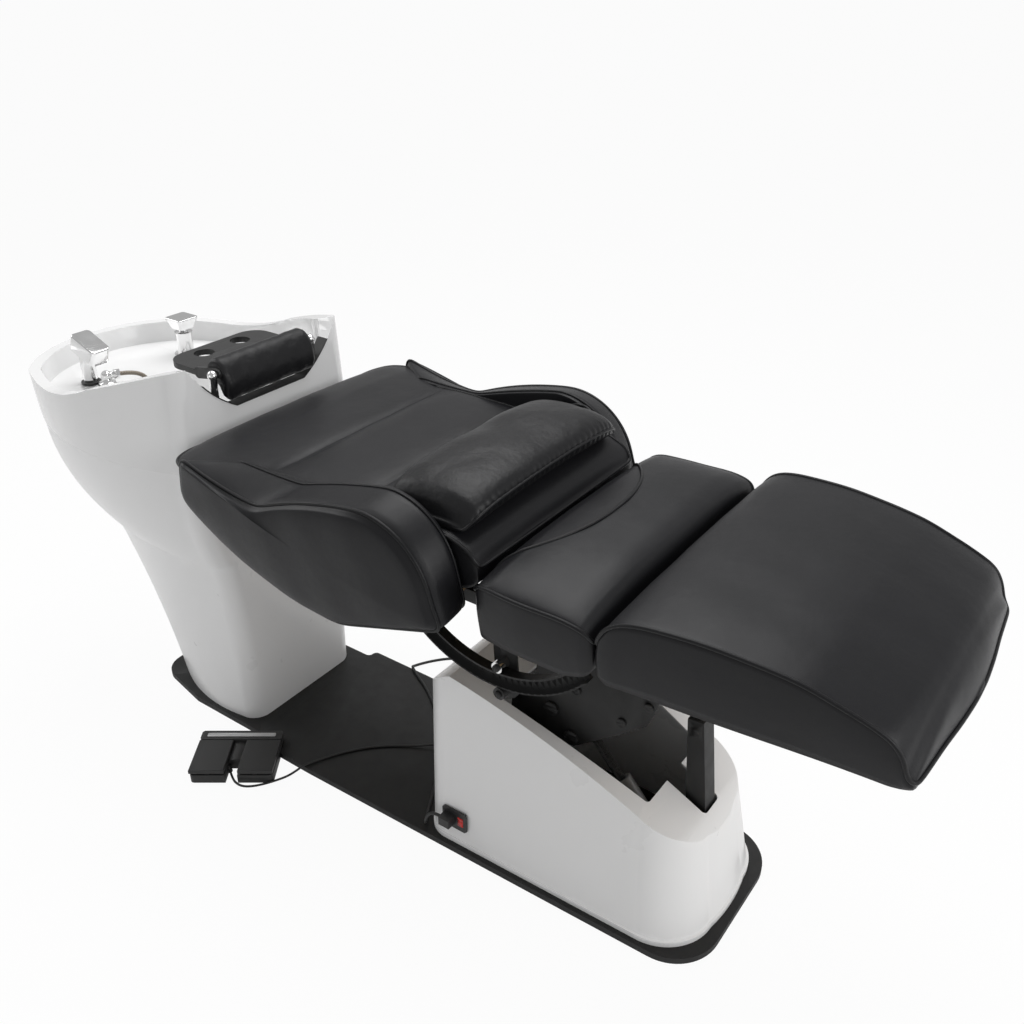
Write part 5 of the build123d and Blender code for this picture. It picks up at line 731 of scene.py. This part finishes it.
def pillowPiece():
    # each section is a fat lens, flatter below than above, and the seam runs round its middle
    spec = pillowForm
    table = np.array(spec["rows"])
    even = np.linspace(-1, 1, spec["sections"])
    place = np.sin(even * np.pi / 2) * 0.45 + even * 0.55  # sections closer together at the ends
    depth, thick = cubicRows(table[:, 0], table[:, 1:], place).T
    middleX = np.mean(spec["x"])
    reach = (spec["x"][1] - spec["x"][0]) / 2 * depth
    low = spec["z"][0] - spec["sag"] * place ** 2
    rise = (spec["z"][1] - spec["z"][0]) * thick
    turn = np.linspace(0, 2 * np.pi, spec["around"], endpoint=False)[None]
    across = np.sign(np.cos(turn)) * np.abs(np.cos(turn)) ** 0.82
    up = np.sin(turn)
    height = np.where(up > 0, np.abs(up) ** 0.9, -np.abs(up) ** 0.55)
    x = middleX + column(reach) * across * np.where(up < 0, 0.985, 1.0)
    y = column(spec["half"] * place) + 0 * turn
    z = column(low + rise / 2) + column(rise / 2) * height
    nearSeam = np.exp(-np.abs(up) * spec["gatherFade"])
    gather = np.sin(y * 2 * np.pi / spec["gatherWave"] + 1.7 * np.sin(y * 31)) * nearSeam
    x = x + np.sign(across) * gather * spec["gatherDepth"]
    fold = ripple(x * 0.7, y, spec["foldWaves"], spec["fold"], spec["seed"])
    away = (x - middleX + 0.02 * np.sin(y * 22)) / spec["creaseWidth"]
    crease = np.exp(-away ** 2) * spec["crease"] * np.sin(y * 17 + 1)
    z = z + np.where(up > 0, (fold + crease) * up, 0)
    grid = domed(np.stack([x, y, z], -1), spec["domeRings"], (-spec["dome"], spec["dome"]), 1)
    pillow = gridPiece("lumbarPillow", grid)
    dress(pillow, "back", "pillow_leather", "lumbar_pillow")
    path = np.concatenate([
        np.stack([middleX + reach, spec["half"] * place, low + rise / 2], 1),
        np.stack([middleX - reach[::-1], spec["half"] * place[::-1], (low + rise / 2)[::-1]], 1)])
    path = rounded(evenly(path, spec["pipingPoints"], True), 1.4)
    welt("pillowPiping", path, spec["piping"], (0, 0, 1), "back", "pillow_leather")
    strap = evenly(np.array(spec["strap"]) + (middleX, 0, 0), 40)
    welt("pillowStrap", strap, spec["strapRadius"], (0, 0, 1), "back", "pillow_leather", closed=False, sides=8)


pillowPiece()
print("stage: pillow made")


# Neck sling: a soft roll over the bar, its outline in X and Z as shares of its box
slingSpec = {
    "x": (-0.457, -0.394), "z": (0.832, 0.912), "half": 0.122, "bar": (-0.419, 0.888),
    "outline": [(1.0, 0.0), (1.03, 0.62), (0.74, 0.97), (0.38, 1.06),
                (0.0, 0.78), (0.0, 0.37), (0.42, 0.40), (0.74, 0.0)],
    "rows": [(-1.0, 0.86), (-0.93, 1.0), (-0.45, 0.985), (0.45, 0.985), (0.93, 1.0), (1.0, 0.86)],
    "sections": 90, "soften": 2.0, "domeRings": 7, "dome": 0.002,
    "waves": (0.060, 0.037, 0.021), "ripple": 0.0007, "seed": 4,
}


def slingPiece():
    # one outline, carried across the bed and shrunk towards the bar at its ends
    spec = slingSpec
    (x0, x1), (z0, z1) = spec["x"], spec["z"]
    spots = [(x0 + a * (x1 - x0), z0 + b * (z1 - z0)) for a, b in spec["outline"]]
    loop = rounded(np.concatenate([
        arcThrough(*spots[0:3], 22), arcThrough(*spots[2:5], 22), straight(*spots[4:6], 12),
        arcThrough(*spots[5:8], 22), straight(spots[7], spots[0], 8)]), spec["soften"])
    table = np.array(spec["rows"])
    even = np.linspace(-1, 1, spec["sections"])
    place = np.sin(even * np.pi / 2) * 0.5 + even * 0.5
    size = cubicRows(table[:, 0], table[:, 1:], place)[:, 0]
    bar = np.array(spec["bar"])
    ring = bar + (loop - bar)[None] * size[:, None, None]
    y = column(spec["half"] * place) + 0 * ring[:, :, 0]
    wrinkle = ripple(y, ring[:, :, 1] * 0.8, spec["waves"], spec["ripple"], spec["seed"])
    away = ring - bar
    ring = ring + away / np.linalg.norm(away, axis=-1, keepdims=True) * wrinkle[:, :, None]
    grid = np.stack([ring[:, :, 0], y, ring[:, :, 1]], -1)
    sling = gridPiece("neckSling", domed(grid, spec["domeRings"], (-spec["dome"], spec["dome"]), 1))
    dress(sling, "neck_rest", "black_leather", "neck_sling", finish="pillow_leather")


slingPiece()
print("stage: neck sling made")


# Hard pieces: a merged copy of each takes smooth normals and, where edgeSizes names it, soft edges
slotOf = {part["node"]: part["material_slot"] for part in record["subparts"]}
softNodes = {
    "seat_pad", "leg_pad", "back_pad", "wing_near", "wing_far", "lumbar_pillow", "neck_sling",
    "shower_hose", "pedal_cable", "mains_cord", "mains_coil",
}
edgeSpec = {"angle": 32.0, "segments": 2}
edgeSizes = {
    "basin": 0.005, "pedestal_shell": 0.004, "base_cover": 0.0022, "base_plate": 0.0015,
    "mixer_lever": 0.0012, "mixer_body": 0.0008, "shower_handset": 0.0010, "handset_sleeve": 0.0008,
    "head_tray": 0.0020, "power_inlet": 0.0008, "inlet_plug": 0.0012,
    "pedal_housing": 0.0015, "tread_left": 0.0010, "tread_right": 0.0010,
}


def hardCopy(node):
    # the copy stands for its node and rides with the same body
    mesh = nodes[node].data.copy()
    work = bmesh.new()
    work.from_mesh(mesh)
    bmesh.ops.remove_doubles(work, verts=work.verts, dist=meshSpec["cadWeld"])
    work.to_mesh(mesh)
    work.free()
    piece = placed(node + "Dressed", mesh)
    mesh.shade_smooth()
    mesh.set_sharp_from_angle(angle=math.radians(edgeSpec["angle"]))
    if node in edgeSizes:
        softEdge = piece.modifiers.new("softEdge", "BEVEL")
        softEdge.width, softEdge.segments = edgeSizes[node], edgeSpec["segments"]
        softEdge.limit_method, softEdge.angle_limit = "ANGLE", math.radians(edgeSpec["angle"])
    return dress(piece, bodyOf[node], slotOf[node], node)


dressed = {node: hardCopy(node) for node in sorted(nodes) if node not in softNodes}
print("stage: hard pieces dressed")


# Floor, light and background
lamps = {
    "topSoft": {"place": (-0.4, 0.9, 3.4), "aim": (0.1, 0, 0.5), "size": 2.6, "power": 62},
    "headSoft": {"place": (-3.0, -0.5, 2.4), "aim": (-0.3, 0, 0.6), "size": 1.8, "power": 22},
    "footSoft": {"place": (2.9, -0.1, 1.9), "aim": (0.3, 0, 0.4), "size": 1.8, "power": 30},
}
for lampName, lampSpec in lamps.items():
    light = bpy.data.lights.new(lampName, "AREA")
    light.shape, light.size, light.energy = "DISK", lampSpec["size"], lampSpec["power"]
    lamp = placed(lampName, light)
    lamp.location = lampSpec["place"]
    way = np.array(lampSpec["place"], float) - np.array(lampSpec["aim"], float)
    lamp.rotation_euler = (
        math.atan2(math.hypot(way[0], way[1]), way[2]), 0, math.atan2(way[1], way[0]) + math.pi / 2)

# the camera sees floor and background almost white, and reflections see some of the floor's white
floorSpec = {
    "reach": 60.0, "drop": 0.0004, "low": 0.84, "high": 0.88, "rough": 0.6, "speck": 3.0,
    "seenWhite": 0.94, "glossWhite": 0.3,
}
worldSpec = {"light": 0.45, "seen": 1.0}
white = (1, 1, 1, 1)

reach = floorSpec["reach"]
floorMesh = bpy.data.meshes.new("floor")
floorMesh.from_pydata(
    [(-reach, -reach, 0), (reach, -reach, 0), (reach, reach, 0), (-reach, reach, 0)], [], [(0, 1, 2, 3)])
floor = placed("floor", floorMesh)
floor.location = (0, 0, -floorSpec["drop"])
floorFinish = Shader("paleFloor")
floorSpeck = floorFinish.noise(floorSpec["speck"], 2.0)
floorFinish.set(
    Base_Color=floorFinish.mix(floorSpeck, shade(floorSpec["low"]), shade(floorSpec["high"])),
    Roughness=floorSpec["rough"])
floorRays = floorFinish.add("ShaderNodeLightPath", {}, {}, "Is Camera Ray")
floorGloss = floorFinish.add("ShaderNodeLightPath", {}, {}, "Is Glossy Ray")
floorGlow = floorFinish.add("ShaderNodeEmission", {}, {"Color": white, "Strength": 1.0})
floorFinish.put(floorFinish.output, "Surface", floorFinish.add("ShaderNodeMixShader", {}, {
    0: floorRays * floorSpec["seenWhite"] + floorGloss * floorSpec["glossWhite"],
    1: Socket(floorFinish, floorFinish.surface.outputs[0]), 2: floorGlow}))
floorMesh.materials.append(floorFinish.material)

world = bpy.data.worlds.new("studio")
bpy.context.scene.world = world
worldNodes = NodeTree(world)
worldRays = worldNodes.add("ShaderNodeLightPath", {}, {}, "Is Camera Ray")
worldLight, worldSeen = (
    worldNodes.add("ShaderNodeBackground", {}, {"Color": white, "Strength": worldSpec[use]})
    for use in ("light", "seen")
)
worldMix = worldNodes.add("ShaderNodeMixShader", {}, {0: worldRays, 1: worldLight, 2: worldSeen})
worldNodes.put(worldNodes.tree.nodes.new("ShaderNodeOutputWorld"), "Surface", worldMix)
bpy.context.scene.view_settings.view_transform = "Standard"
print("stage: floor and light set")
